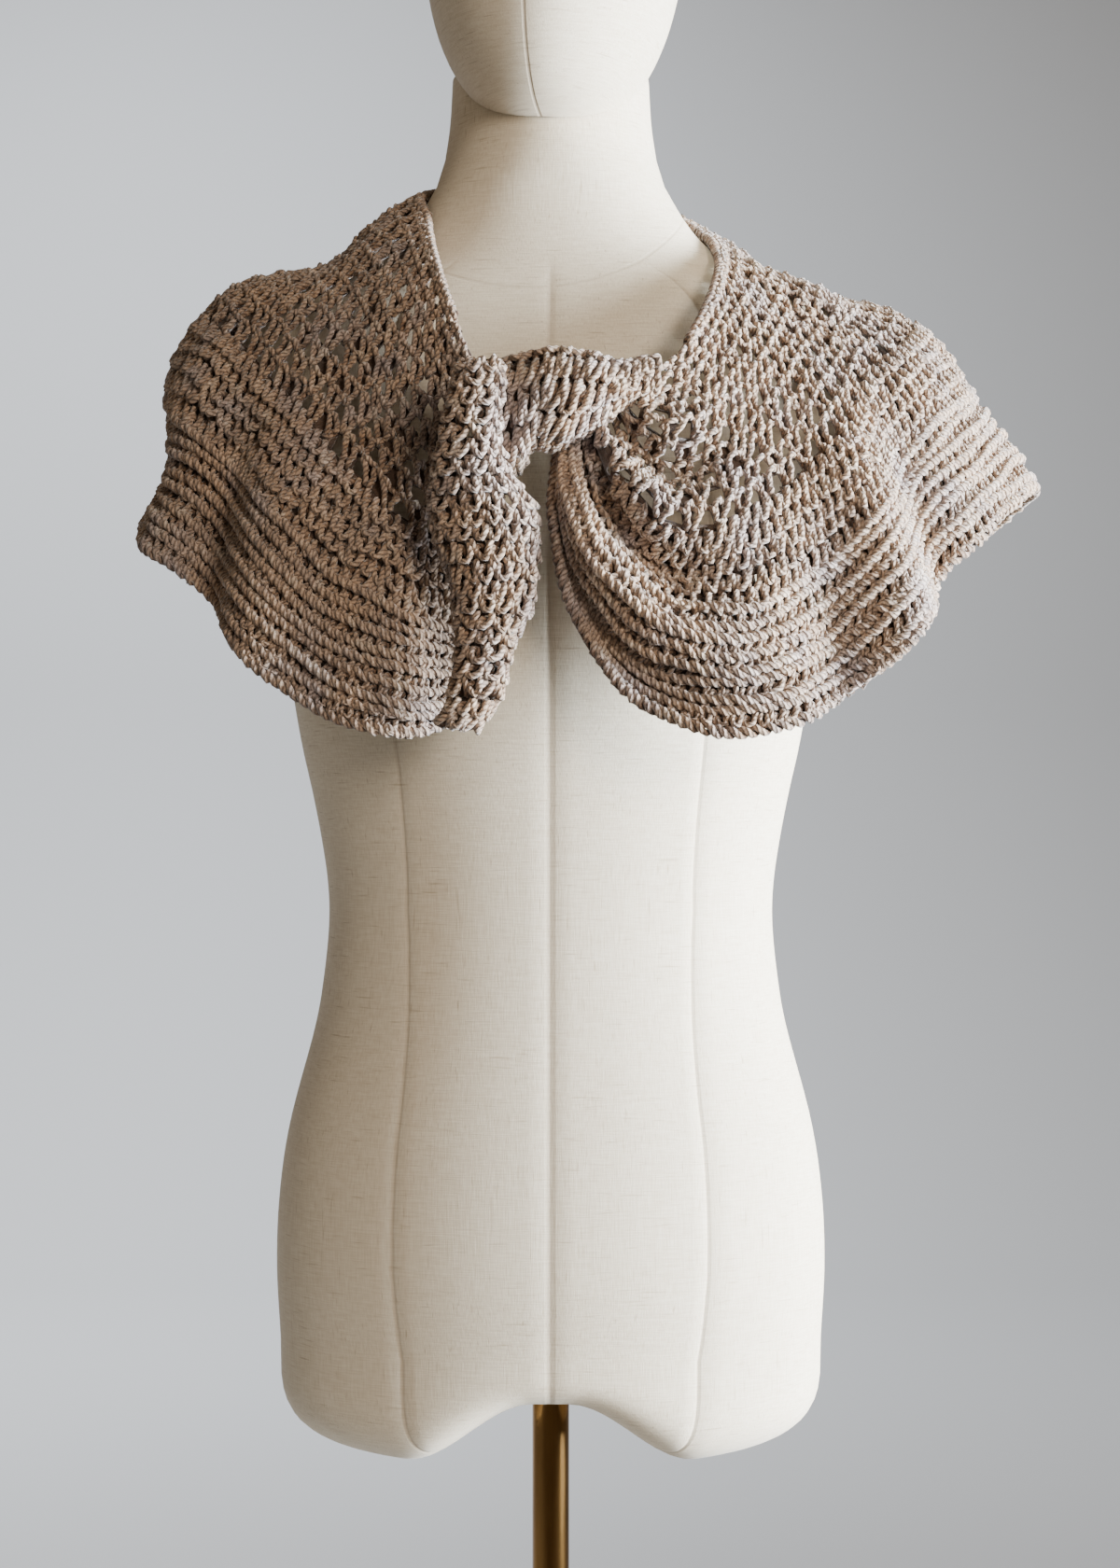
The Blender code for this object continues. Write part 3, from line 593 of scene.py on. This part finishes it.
def linenMaterials():
    group = linenGroup()
    made = {}
    for name in ("linenTorso", "linenHead"):
        material, tree, shader = newMaterial(name)
        place = addNode(tree, "ShaderNodeTexCoord").outputs["Object"]
        cloth = addNode(tree, "ShaderNodeGroup", node_tree=group)
        tree.links.new(place, cloth.inputs[0])
        axes = addNode(tree, "ShaderNodeSeparateXYZ", None, {"Vector": place})
        if name == "linenTorso":
            seam = addNode(tree, "ShaderNodeAttribute", attribute_name="seam").outputs["Fac"]
            across = maths(tree, "SUBTRACT", axes.outputs["X"], neckSeam["x"])
            curve = maths(tree, "MULTIPLY", maths(tree, "MULTIPLY", across, across), neckSeam["curve"])
            back = maths(tree, "MAXIMUM", maths(tree, "SUBTRACT", axes.outputs["Y"], neckSeam["y"]), 0.0)
            level = maths(tree, "ADD", curve, maths(tree, "MULTIPLY", back, neckSeam["behind"]))
            level = maths(tree, "ADD", level, neckSeam["height"])
            off = maths(tree, "ABSOLUTE", maths(tree, "SUBTRACT", axes.outputs["Z"], level))
            line = mapRange(tree, off, neckSeam["edge"], neckSeam["core"], 0.0, neckSeam["share"])
            seam = maths(tree, "MAXIMUM", seam, line)
        else:
            # the head's own front seam, which its turn carries round
            centreX, _, centreZ = headSeam["centre"]
            turn = {"Center": headSeam["centre"], "Angle": math.radians(headSeam["turn"])}
            turned = addNode(tree, "ShaderNodeVectorRotate", turn, {"Vector": place}, rotation_type="Z_AXIS")
            middle = addNode(tree, "ShaderNodeSeparateXYZ", None, {"Vector": turned.outputs[0]})
            above = maths(tree, "SUBTRACT", middle.outputs["Z"], centreZ)
            leaned = maths(tree, "MULTIPLY", above, headSeam["lean"])
            aside = maths(tree, "SUBTRACT", middle.outputs["X"], centreX)
            off = maths(tree, "ABSOLUTE", maths(tree, "ADD", aside, leaned))
            seam = mapRange(tree, off, headSeam["edge"], headSeam["core"])
        share = maths(tree, "MULTIPLY", seam, linenCloth["seamShare"])
        colour = mixColours(tree, share, cloth.outputs[0], linenCloth["seam"])
        height = maths(tree, "SUBTRACT", maths(tree, "MULTIPLY", cloth.outputs[1], 0.25), seam)
        bump = addNode(tree, "ShaderNodeBump", {"Strength": 0.5, "Distance": 0.0006}, {"Height": height})
        finishShader(tree, shader, {"Base Color": colour, "Normal": bump.outputs[0]},
                     {"Roughness": 0.82, "Sheen Weight": 0.15, "Specular IOR Level": 0.3})
        made[name] = material
    return made["linenTorso"], made["linenHead"]


def brassMaterial():
    material, tree, shader = newMaterial("agedBrass")
    place = addNode(tree, "ShaderNodeTexCoord").outputs["Object"]
    smear = noise(tree, scaled(tree, place, (60, 60, 5)), Scale=1.0, Detail=4.0)
    colour = ramp(tree, smear, ((0.35, (0.13, 0.065, 0.025)), (0.65, (0.40, 0.23, 0.08))))
    rough = mapRange(tree, smear, 0.0, 1.0, 0.10, 0.22)
    finishShader(tree, shader, {"Base Color": colour, "Roughness": rough}, {"Metallic": 1.0})
    return material


# the dress form

torsoSections = (
    # height, half width, front depth, back depth
    (820, 153.5, 96, 112), (860, 155.5, 102, 120), (900, 154.0, 103, 118), (941, 148.0, 101, 106),
    (994, 134.0, 96, 88), (1022, 129.0, 94, 80), (1052, 126.0, 92, 76), (1075, 126.5, 92, 77),
    (1100, 130.0, 94, 82), (1126, 135.0, 98, 88), (1153, 141.0, 104, 93), (1182, 146.0, 111, 97),
    (1220, 151.0, 118, 100), (1260, 156.0, 118, 103), (1295, 162.0, 111, 105), (1322, 170.0, 102, 104),
    (1344, 177.0, 92, 100), (1364, 182.5, 84, 95), (1382, 181.0, 77, 91), (1396, 171.0, 72, 87),
    (1407, 151.0, 68, 84), (1417, 121.0, 64, 81), (1428, 99.0, 60, 78), (1440, 85.0, 57, 74),
    (1453, 75.0, 55, 70), (1470, 65.0, 56, 68),
)
neckRings = ((1487, 60.5), (1508, 57.5), (1533, 56.0))  # height, radius, round about neckY
form = {"neckY": 6.0, "squareness": 2.25, "crotch": 791.5, "lobeDrop": 37.0, "lobeInner": 10.0,
        "lobeOuter": 80.0, "lobeRings": 22, "lobeStart": 0.03, "rounding": 4.0, "between": 11,
        "seamHalf": 1.4, "seamDepth": 0.6, "rowRings": 5, "neckBlend": (1395, 1425), "neckRings": 13}
# how far out the front and back seams run, as a share of the half width, by height
seamShares = ((753, 0.46), (830, 0.53), (866, 0.547), (961, 0.56), (1062, 0.62), (1154, 0.59),
              (1260, 0.55), (1404, 0.45))


def formRing(height, halfWidth, front, back, squareness, neck):
    # one ring, with a groove on each seam; neck is 0 below the neck and 1 on it
    heights, shares = zip(*seamShares)
    share = np.interp(height, heights, shares)
    princess = math.acos(share ** (squareness / 2))
    seams = [-math.pi / 2, -princess, 0.0, princess, math.pi / 2, math.pi - princess, math.pi,
             math.pi + princess]
    angles, marks = [], []
    for a, b in zip(seams, seams[1:] + [seams[0] + 2 * math.pi]):
        close = form["seamHalf"] / max(halfWidth * 0.75, 1)
        inner = np.linspace(a + close, b - close, form["between"])
        angles += [a] + list(inner)
        marks += [1.0] + [0.0] * len(inner)
    angles, marks = np.array(angles), np.array(marks) * (1 - neck)
    across, along = np.cos(angles), np.sin(angles)
    x = halfWidth * np.sign(across) * np.abs(across) ** (2 / squareness)
    y = np.where(along < 0, front, back) * np.sign(along) * np.abs(along) ** (2 / squareness)
    inward = 1 - marks * form["seamDepth"] / np.maximum(np.hypot(x, y), 1)
    ring = np.stack([x * inward, y * inward, np.full(len(x), float(height))], axis=1)
    return ring, marks


def stack(name, rings, marks=None):
    count = len(rings[0])
    base = np.arange(len(rings) - 1)[:, None] * count
    i = np.arange(count)[None, :]
    j = (i + 1) % count
    quads = np.stack([base + i, base + j, base + count + j, base + count + i], -1).reshape(-1, 4)
    top = (len(rings) - 1) * count
    caps = [list(range(count))[::-1], list(range(top, top + count))]
    return meshObject(name, np.concatenate(rings), quads, caps, None, marks)


def makeTorso():
    rings, marks = [], []
    table = np.array(torsoSections, float)
    wall = table[0]
    for share in np.sin(np.linspace(form["lobeStart"], 1.0, form["lobeRings"])[:-1] * math.pi / 2):
        ring, mark = formRing(*wall, form["squareness"], 0.0)
        ring[:, :2] *= share
        drop = form["lobeDrop"] * smoothStep(form["lobeInner"], form["lobeOuter"], np.abs(ring[:, 0]))
        floor = form["crotch"] - drop
        rise = 1 - (1 - share ** form["rounding"]) ** (1 / form["rounding"])
        ring[:, 2] = floor + (wall[0] - floor) * rise
        rings.append(ring)
        marks.append(mark)
    for row in spline(table, np.linspace(0, len(table) - 1, form["rowRings"] * len(table))):
        neck = smoothStep(*form["neckBlend"], row[0])
        ring, mark = formRing(*row, form["squareness"], neck)
        rings.append(ring)
        marks.append(mark)
    for height, radius in spline(neckRings, np.linspace(0, 2, form["neckRings"])):
        ring, mark = formRing(height, radius, radius, radius, 2.0, 1.0)
        rings.append(ring + [0, form["neckY"], 0])
        marks.append(mark)
    return stack("torsoLinen", rings, {"seam": np.concatenate(marks)})


head = {"centre": (4.5, -30.0, 1632.0), "halfWidth": 73.0, "front": 92.0, "back": 98.0, "lower": 135.0,
        "upper": 110.0, "lowerPower": 2.5, "upperPower": 2.15, "tilt": (-8, 2.5, -10), "clearance": 1.2,
        "around": 72, "rings": 50}


def roundRing(height, radius, count, centreY=0.0):
    angle = np.arange(count) * 2 * math.pi / count
    x, y = radius * np.cos(angle), radius * np.sin(angle) + centreY
    return np.stack([x, y, np.full(count, float(height))], axis=1)


def makeHead():
    rings = []
    around = head["around"]
    angle = np.arange(around) * 2 * math.pi / around
    for share in np.sin(np.linspace(-1, 1, head["rings"])[1:-1] * math.pi / 2):
        power = head["lowerPower"] if share < 0 else head["upperPower"]
        width = (1 - abs(share) ** power) ** (1 / power)
        height = share * (head["lower"] if share < 0 else head["upper"])
        depth = np.where(np.sin(angle) < 0, head["front"], head["back"]) * width
        rings.append(np.stack([head["halfWidth"] * width * np.cos(angle), depth * np.sin(angle),
                               np.full(around, height)], axis=1))
    piece = stack("headLinen", rings)
    tilt = Euler([math.radians(a) for a in head["tilt"]]).to_matrix().to_4x4()
    piece.data.transform(Matrix.Translation(Vector(head["centre"]) * mm) @ tilt)
    sleeve = [roundRing(h, r + head["clearance"], around, form["neckY"]) for h, r in neckRings]
    sleeve[-1][:, 2] += seamGap
    cutter = stack("neckSleeve", sleeve)
    cut = piece.modifiers.new("neckHollow", "BOOLEAN")
    cut.operation = "DIFFERENCE"
    cut.object = cutter
    cut.solver = "EXACT"
    bpy.context.view_layer.update()
    depsgraph = bpy.context.evaluated_depsgraph_get()
    cutMesh = bpy.data.meshes.new_from_object(piece.evaluated_get(depsgraph))
    piece.modifiers.clear()
    piece.data = cutMesh
    bpy.data.objects.remove(cutter)
    cutMesh.shade_smooth()
    cutMesh.set_sharp_from_angle(angle=sharpAngle)
    return piece


stand = {"pole": 10.5, "base": 160.0, "thick": 9.0, "edge": 2.5, "socket": 17.0, "socketHeight": 26.0,
         "deep": 30.0, "baseAround": 96, "poleAround": 64}


def makeStand():
    edge, top = stand["edge"], stand["thick"]
    floor = stand["socketHeight"] + top - stand["deep"]
    corner = np.linspace(0, math.pi / 2, 6)
    profile = [(stand["base"] - edge + edge * math.sin(a), edge - edge * math.cos(a)) for a in corner]
    profile += [(stand["base"] - edge + edge * math.cos(a), top - edge + edge * math.sin(a)) for a in corner]
    sweep = np.linspace(0, 1, 8)
    socket, rim, bore = stand["socket"], top + stand["socketHeight"], stand["pole"] + seamGap
    profile += [(socket + 3 * edge * (1 - s) ** 2, top + edge * 0.4 + 3 * edge * s**2) for s in sweep]
    profile += [(socket, rim - edge / 2), (socket - edge / 2, rim), (bore, rim), (bore, floor)]
    base = stack("baseMetal", [roundRing(h, r, stand["baseAround"]) for r, h in profile])
    levels = np.linspace(floor + seamGap, form["crotch"] - seamGap, 12)
    pole = stack("poleMetal", [roundRing(h, stand["pole"], stand["poleAround"]) for h in levels])
    for piece in (base, pole):
        piece.data.set_sharp_from_angle(angle=sharpAngle)
    return base, pole


# camera, light and floor

view = {"lens": 64.44, "sensor": 36, "distance": 1.6, "x": 0.0053, "z": 1.1317}
lamps = (
    # name, place, target, size, watts, spread in degrees, colour
    ("windowLight", (2.3, -0.40, 1.1), (0, 0, 1.1), 1.2, 142, 80, (0.86, 0.94, 1.0)),
    ("frontFill", (1.5, -2.5, 2.0), (0, 0, 1.2), 0.9, 13, 80, (1.0, 0.88, 0.74)),
    ("wallLight", (-1.5, 3.3, 3.6), (-0.8, 5.2, 0.0), 2.0, 230, 150, (0.82, 0.90, 1.0)),
)
# the sweep's sizes are in millimetres: its floor curves up from bendStart behind the form into a plain wall
studio = {"world": (0.95, 0.79, 0.60, 1), "worldStrength": 0.26, "sweepColour": (0.50, 0.49, 0.48, 1),
          "sweepHalf": 7000, "bendStart": 4700, "bend": 1400}


def makeStudio():
    lens = bpy.data.cameras.new("photoCamera")
    lens.lens = view["lens"]
    lens.sensor_width = view["sensor"]
    eye = bpy.data.objects.new("photoCamera", lens)
    eye.location = (view["x"], -view["distance"], view["z"])
    eye.rotation_euler = (math.pi / 2, 0, 0)
    bpy.context.scene.collection.objects.link(eye)
    bpy.context.scene.camera = eye
    for name, place, target, size, watts, spread, colour in lamps:
        lamp = bpy.data.lights.new(name, "AREA")
        lamp.size = size
        lamp.energy = watts
        lamp.color = colour
        lamp.spread = math.radians(spread)
        holder = bpy.data.objects.new(name, lamp)
        holder.location = place
        holder.rotation_euler = (Vector(target) - Vector(place)).to_track_quat("-Z", "Y").to_euler()
        bpy.context.scene.collection.objects.link(holder)
    world = bpy.data.worlds.new("studio")
    world.use_nodes = True
    background = world.node_tree.nodes["Background"]
    background.inputs[0].default_value = studio["world"]
    background.inputs[1].default_value = studio["worldStrength"]
    bpy.context.scene.world = world
    material, tree, shader = newMaterial("paleStage")
    finishShader(tree, shader, {}, {"Base Color": studio["sweepColour"], "Roughness": 0.95,
                                    "Specular IOR Level": 0.1})
    half, start, bend = studio["sweepHalf"], studio["bendStart"], studio["bend"]
    line = [(start + bend * math.sin(a), bend - bend * math.cos(a)) for a in np.linspace(0, math.pi / 2, 24)]
    line = [(-half, 0.0)] + line + [(start + bend, half)]
    points = [(x, y, z) for y, z in line for x in (-half, half)]
    quads = [(2 * i, 2 * i + 1, 2 * i + 3, 2 * i + 2) for i in range(len(line) - 1)]
    sweep = meshObject("paleSweep", points, quads)
    sweep.data.materials.append(material)


makeStudio()
print("studio ready")

yarnStrand, yarnBackPaintedShade = yarnMaterials()
linenTorso, linenHead = linenMaterials()
brass = brassMaterial()

torso = makeTorso()
torso.data.materials.append(linenTorso)
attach(torso, "form")
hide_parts("form_torso")

headPiece = makeHead()
headPiece.data.materials.append(linenHead)
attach(headPiece, "head")
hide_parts("form_head")

base, pole = makeStand()
for piece, node in ((base, "base"), (pole, "pole")):
    piece.data.materials.append(brass)
    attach(piece, "form")
    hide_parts(node)
print("form ready")


# yoke, border and edging

yoke = {"laceRows": 11, "denseRows": 5}
# stitch pitch, lean of the pairs, share of the gaps that are open, and each gap's shape in its cell
openRow = {"shape": tallStitch, "yarn": 1.6, "points": 15, "slim": 0.60, "rise": 1.0, "pitch": 8.4,
           "spread": 0.31, "open": 0.85, "width": 1.4, "narrow": 0.8, "top": 0.12, "bottom": 0.92}
denseRow = {"shape": loopStitch, "yarn": 1.8, "points": 13, "slim": 1.0, "rise": 1.0, "pitch": 7.6,
            "spread": 0.08, "open": 0.45, "width": 0.55, "narrow": 0.90, "top": 0.34, "bottom": 0.78}
grooveRow = {"shape": loopStitch, "yarn": 1.5, "points": 11, "slim": 1.0, "rise": 0.72, "pitch": 7.6,
             "spread": 0.0, "open": 0.0, "width": 0.55, "narrow": 0.90, "top": 0.34, "bottom": 0.78}
border = {"ridges": 8, "ridgeStep": 0.9}
# a rope's lay is the length of one turn
ridgeRope = {"lay": 12.0, "radius": 1.75, "lift": 2.7, "swing": 1.4, "wander": 1.5}
hemRope = {"lay": 12.5, "radius": 1.9, "lift": 0.9, "swing": 1.9, "wander": 1.6}

capeCloth = Cloth(capeGrid(np.linspace(0, cape["span"], cape["columns"]), np.linspace(0, 1, cape["rows"]),
                           treeOf(torso)))
print("cape surface ready")


def workedSize(cloth, down0, down1, first, last):
    # the size a stretch is worked to: its longest row, its depth there, and its area, in metres
    downs = np.linspace(down0, down1, 12)
    rows = [cloth.ruler(d, first, last)[0][-1] for d in downs]
    across, down = np.meshgrid(np.linspace(first, last, 120), downs)
    patch = cloth.at(across, down)
    alongRow, upRow = patch[:-1, 1:] - patch[:-1, :-1], patch[1:, :-1] - patch[:-1, :-1]
    area = np.linalg.norm(np.cross(alongRow, upRow), axis=-1).sum()
    depth = np.linalg.norm(upRow, axis=-1).sum(axis=0).max()
    return (max(rows) * mm, depth * mm), area * mm * mm


def dress(cloth, stitches, node, size):
    for piece in [cloth] + stitches:
        # the backing sheet takes the painted shade, the stitches the yarn
        piece.data.materials.append(yarnBackPaintedShade if piece is cloth else yarnStrand)
        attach(piece, "form")
    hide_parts(node)


def makeHalf(side, first, last):
    laceStrands, denseStrands, strips = [], [], []
    laceEdges = np.linspace(cape["laceStart"], cape["laceEnd"], yoke["laceRows"] + 1)
    denseEdges = np.linspace(cape["laceEnd"], cape["ribStart"], yoke["denseRows"] + 1)
    rows = [(a, b, laceStrands) for a, b in zip(laceEdges, laceEdges[1:])]
    rows += [(a, b, denseStrands) for a, b in zip(denseEdges, denseEdges[1:])]
    for n, (down0, down1, strands) in enumerate(rows):
        kind = denseRow if strands is denseStrands else openRow
        # every second row ends short of the knot, where the cloth is bunched
        end = last if n % 2 == 0 or side == "Left" else cape["shortEnd"] / cape["span"]
        strand, count, rulerData = stitchRow(capeCloth, down0, down1, first, end, kind, n % 2)
        strands.append(strand)
        if end < last:
            rulerData = capeCloth.ruler((down0 + down1) / 2, first, last) + (rulerData[2],)
            count = int(rulerData[0][-1] / rulerData[2])
        strips.append(shellStrip(capeCloth, down0, down1, rulerData, count, n % 2, kind))
    yokeCloth = joinedShell("yoke" + side + "Cloth", strips)
    yokeStitches = [strandMesh("yoke" + side + "Lace", laceStrands),
                    strandMesh("yoke" + side + "Rows", denseStrands)]
    print(side, "yoke", [len(s.data.polygons) for s in yokeStitches], "faces")
    ridgeEdges = np.linspace(cape["ribStart"], 1.0, border["ridges"] + 1)
    ridgeStrands, grooveStrands, strips = [], [], []
    for n, (down0, down1) in enumerate(zip(ridgeEdges, ridgeEdges[1:])):
        # every second ridge stands higher
        lift = ridgeRope["lift"] - border["ridgeStep"] * (n % 2)
        ridgeStrands += rope(capeCloth, down0, first, last, {**ridgeRope, "lift": lift})
        strand, count, rulerData = stitchRow(capeCloth, down0, down1, first, last, grooveRow, n % 2)
        grooveStrands.append(strand)
        strips.append(shellStrip(capeCloth, down0, down1, rulerData, count, 0, grooveRow))
    ridgeStrands += rope(capeCloth, 1.0, first, last, hemRope)
    borderCloth = joinedShell("border" + side + "Cloth", strips)
    borderPieces = [strandMesh("border" + side + "Ridges", ridgeStrands),
                    strandMesh("border" + side + "Rows", grooveStrands)]
    print(side, "border", [len(s.data.polygons) for s in borderPieces], "faces")
    return yokeCloth, yokeStitches, borderCloth, borderPieces


backSeam = cape["backSeam"] / cape["span"]
for side, first, last in (("Left", 0.0, backSeam), ("Right", backSeam, 1.0)):
    yokeCloth, yokeStitches, borderCloth, borderPieces = makeHalf(side, first, last)
    low = side.lower()
    dress(yokeCloth, yokeStitches, "yoke_" + low,
          workedSize(capeCloth, 0.0, cape["ribStart"], first, last))
    dress(borderCloth, borderPieces, "border_" + low,
          workedSize(capeCloth, cape["ribStart"], 1.0, first, last))

edging = {"first": 1.0 / cape["span"], "last": 14.8 / cape["span"]}
edgingRopes = (
    # how far down the cloth, and the rope's sizes
    (0.0, {"lay": 9.5, "radius": 1.8, "lift": 0.6, "swing": 1.5, "wander": 0.3}),
    (0.022, {"lay": 9.0, "radius": 1.6, "lift": 0.9, "swing": 1.3, "wander": 0.3}),
)
neckStrands = []
for down, kind in edgingRopes:
    neckStrands += rope(capeCloth, down, edging["first"], edging["last"], kind)
neckEdging = strandMesh("neckEdging", neckStrands)
neckEdging.data.materials.append(yarnStrand)
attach(neckEdging, "form")
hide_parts("neck_edging")
print("edging ready")


# the knot: a band over the gathered fronts, and the left front's hanging end

bandSections = (
    # x, top, bottom and front of each upright section
    (56, 1353, 1337, -150.5), (46, 1352, 1332, -152.6), (35, 1350, 1321, -156.6), (24, 1351, 1312, -161.5),
    (15, 1353, 1306, -166), (5, 1355, 1305, -168), (-4, 1355, 1306, -168), (-13, 1354, 1295, -167),
    (-23, 1352, 1291, -164), (-34, 1349, 1298, -158),
)
tailSections = (
    # height, left edge, right edge and front of each level section
    (1349, -45, -26, -169), (1336, -49, -25, -174), (1318, -53, -25, -175), (1302, -57, -24, -175),
    (1287, -60, -20, -174), (1271, -61, -8, -173), (1256, -58, -5, -172), (1238, -51, -8, -171),
    (1222, -48, -12, -170), (1207, -47, -17, -168), (1192, -48, -21, -167), (1175, -51, -28, -165),
    (1161, -58, -38, -162),
)
band = {"thick": 3.4, "depth": 0.672, "leastDepth": 5.0, "turn": 0.18, "creases": 3.0, "crease": 1.8,
        "clearance": 0.6, "lean": 0.45, "leanFrom": (-30, 20), "leanTo": (60, 40), "columns": 61,
        "around": 41, "reach": 3}
tail = {"thick": 3.2, "depth": 0.62, "turn": 0.20, "ruffles": 3.5, "ruffle": 1.6, "ruffleEdge": (-0.4, -0.8),
        "clearance": 1.7, "rows": 97, "around": 41, "reach": 4}
rayStart = -600.0  # in front of everything


def inFrontOf(points, trees, clearance, reach):
    # moves a grid forward of the cloth behind it, each push eased out over its neighbours within reach
    push = np.zeros(points.shape[:2])
    for index in np.ndindex(push.shape):
        x, y, z = points[index]
        for tree in trees:
            hit = tree.ray_cast(Vector((x, rayStart, z)), Vector((0, 1, 0)))[0]
            if hit is not None:
                push[index] = min(push[index], hit.y - clearance - y)
    for tidy in (np.min, np.mean):
        for axis in (0, 1):
            pad = [(reach, reach) if a == axis else (0, 0) for a in (0, 1)]
            padded = np.pad(push, pad, "edge")
            push = tidy(np.lib.stride_tricks.sliding_window_view(padded, 2 * reach + 1, axis), axis=-1)
    moved = np.array(points, float)
    moved[..., 1] += push
    return moved


def bandGrid(trees):
    rows = spline(np.array(bandSections, float), np.linspace(0, len(bandSections) - 1, band["columns"]))
    angle = np.linspace(-band["turn"], math.pi + band["turn"], band["around"])
    across, out = np.cos(angle), np.sin(angle)
    middle = []
    for x, top, bottom, front in rows:
        half = (top - bottom) / 2 - band["thick"] / 2
        depth = max(half * band["depth"], band["leastDepth"])
        crease = band["crease"] * np.cos(band["creases"] * math.pi * across) * out.clip(0)
        z = (top + bottom) / 2 + half * across
        # the band is pulled up to the right, so its stitches lean
        lean = band["lean"] * smoothStep(*band["leanFrom"], x) * smoothStep(*band["leanTo"], x)
        middle.append(np.stack([x + lean * half * across, front + depth * (1 - out) - crease, z], axis=1))
    clearance = band["clearance"] + band["thick"] / 2
    return inFrontOf(np.array(middle).transpose(1, 0, 2), trees, clearance, band["reach"])


def tailGrid(trees):
    rows = spline(np.array(tailSections, float), np.linspace(0, len(tailSections) - 1, tail["rows"]))
    angle = np.linspace(-tail["turn"], math.pi + tail["turn"], tail["around"])
    across, out = np.cos(angle), np.sin(angle)
    middle = []
    for n, (z, left, right, front) in enumerate(rows):
        half = (right - left) / 2 - tail["thick"] / 2
        ruffle = tail["ruffle"] * math.sin(tail["ruffles"] * math.pi * n / len(rows) * 2)
        x = (left + right) / 2 - half * across + ruffle * smoothStep(*tail["ruffleEdge"], across)
        middle.append(np.stack([x, front + half * tail["depth"] * (1 - out), np.full_like(x, z)], axis=1))
    return inFrontOf(np.array(middle), trees, tail["clearance"] + tail["thick"] / 2, tail["reach"])


knotRope = {"lay": 9.0, "radius": 1.8, "lift": 0.6, "swing": 1.5, "wander": 0.5}


def knotPiece(name, cloth, edgeCloth, rowCount, kind, node):
    strands, strips = [], []
    edges = np.linspace(0.0, 1.0, rowCount + 1)
    for n, (down0, down1) in enumerate(zip(edges, edges[1:])):
        strand, count, rulerData = stitchRow(cloth, down0, down1, 0.0, 1.0, kind, n % 2)
        strands.append(strand)
        strips.append(shellStrip(cloth, down0, down1, rulerData, count, n % 2, kind))
    for down in (0.0, 1.0):
        strands += rope(edgeCloth, down, 0.0, 1.0, knotRope)
    shell = joinedShell(name + "Cloth", strips)
    stitches = strandMesh(name + "Stitches", strands)
    print(name, len(stitches.data.polygons), "faces")
    dress(shell, [stitches], node, workedSize(cloth, 0.0, 1.0, 0.0, 1.0))


frontTrees = [treeOf(nodes["yoke_right"]), treeOf(nodes["border_right"])]
bandCloth = Cloth(bandGrid(frontTrees))
bandRow = {**denseRow, "yarn": 1.75, "pitch": 6.8, "spread": 0.12, "open": 0.3}
tailRow = {**denseRow, "yarn": 1.75, "pitch": 7.4, "spread": 0.12, "open": 0.7, "width": 0.8, "top": 0.20}
knotPiece("knotBand", bandCloth, bandCloth, 5, bandRow, "knot_band")
tailTrees = [treeOf(nodes["knot_band"]), treeOf(nodes["border_left"])] + frontTrees
tailSurface = tailGrid(tailTrees)
# the tail's rows run across it, and its edges run down it
knotPiece("leftTail", Cloth(tailSurface[:, ::-1]), Cloth(tailSurface.transpose(1, 0, 2)), 22, tailRow,
          "left_tail")
print("knot ready")
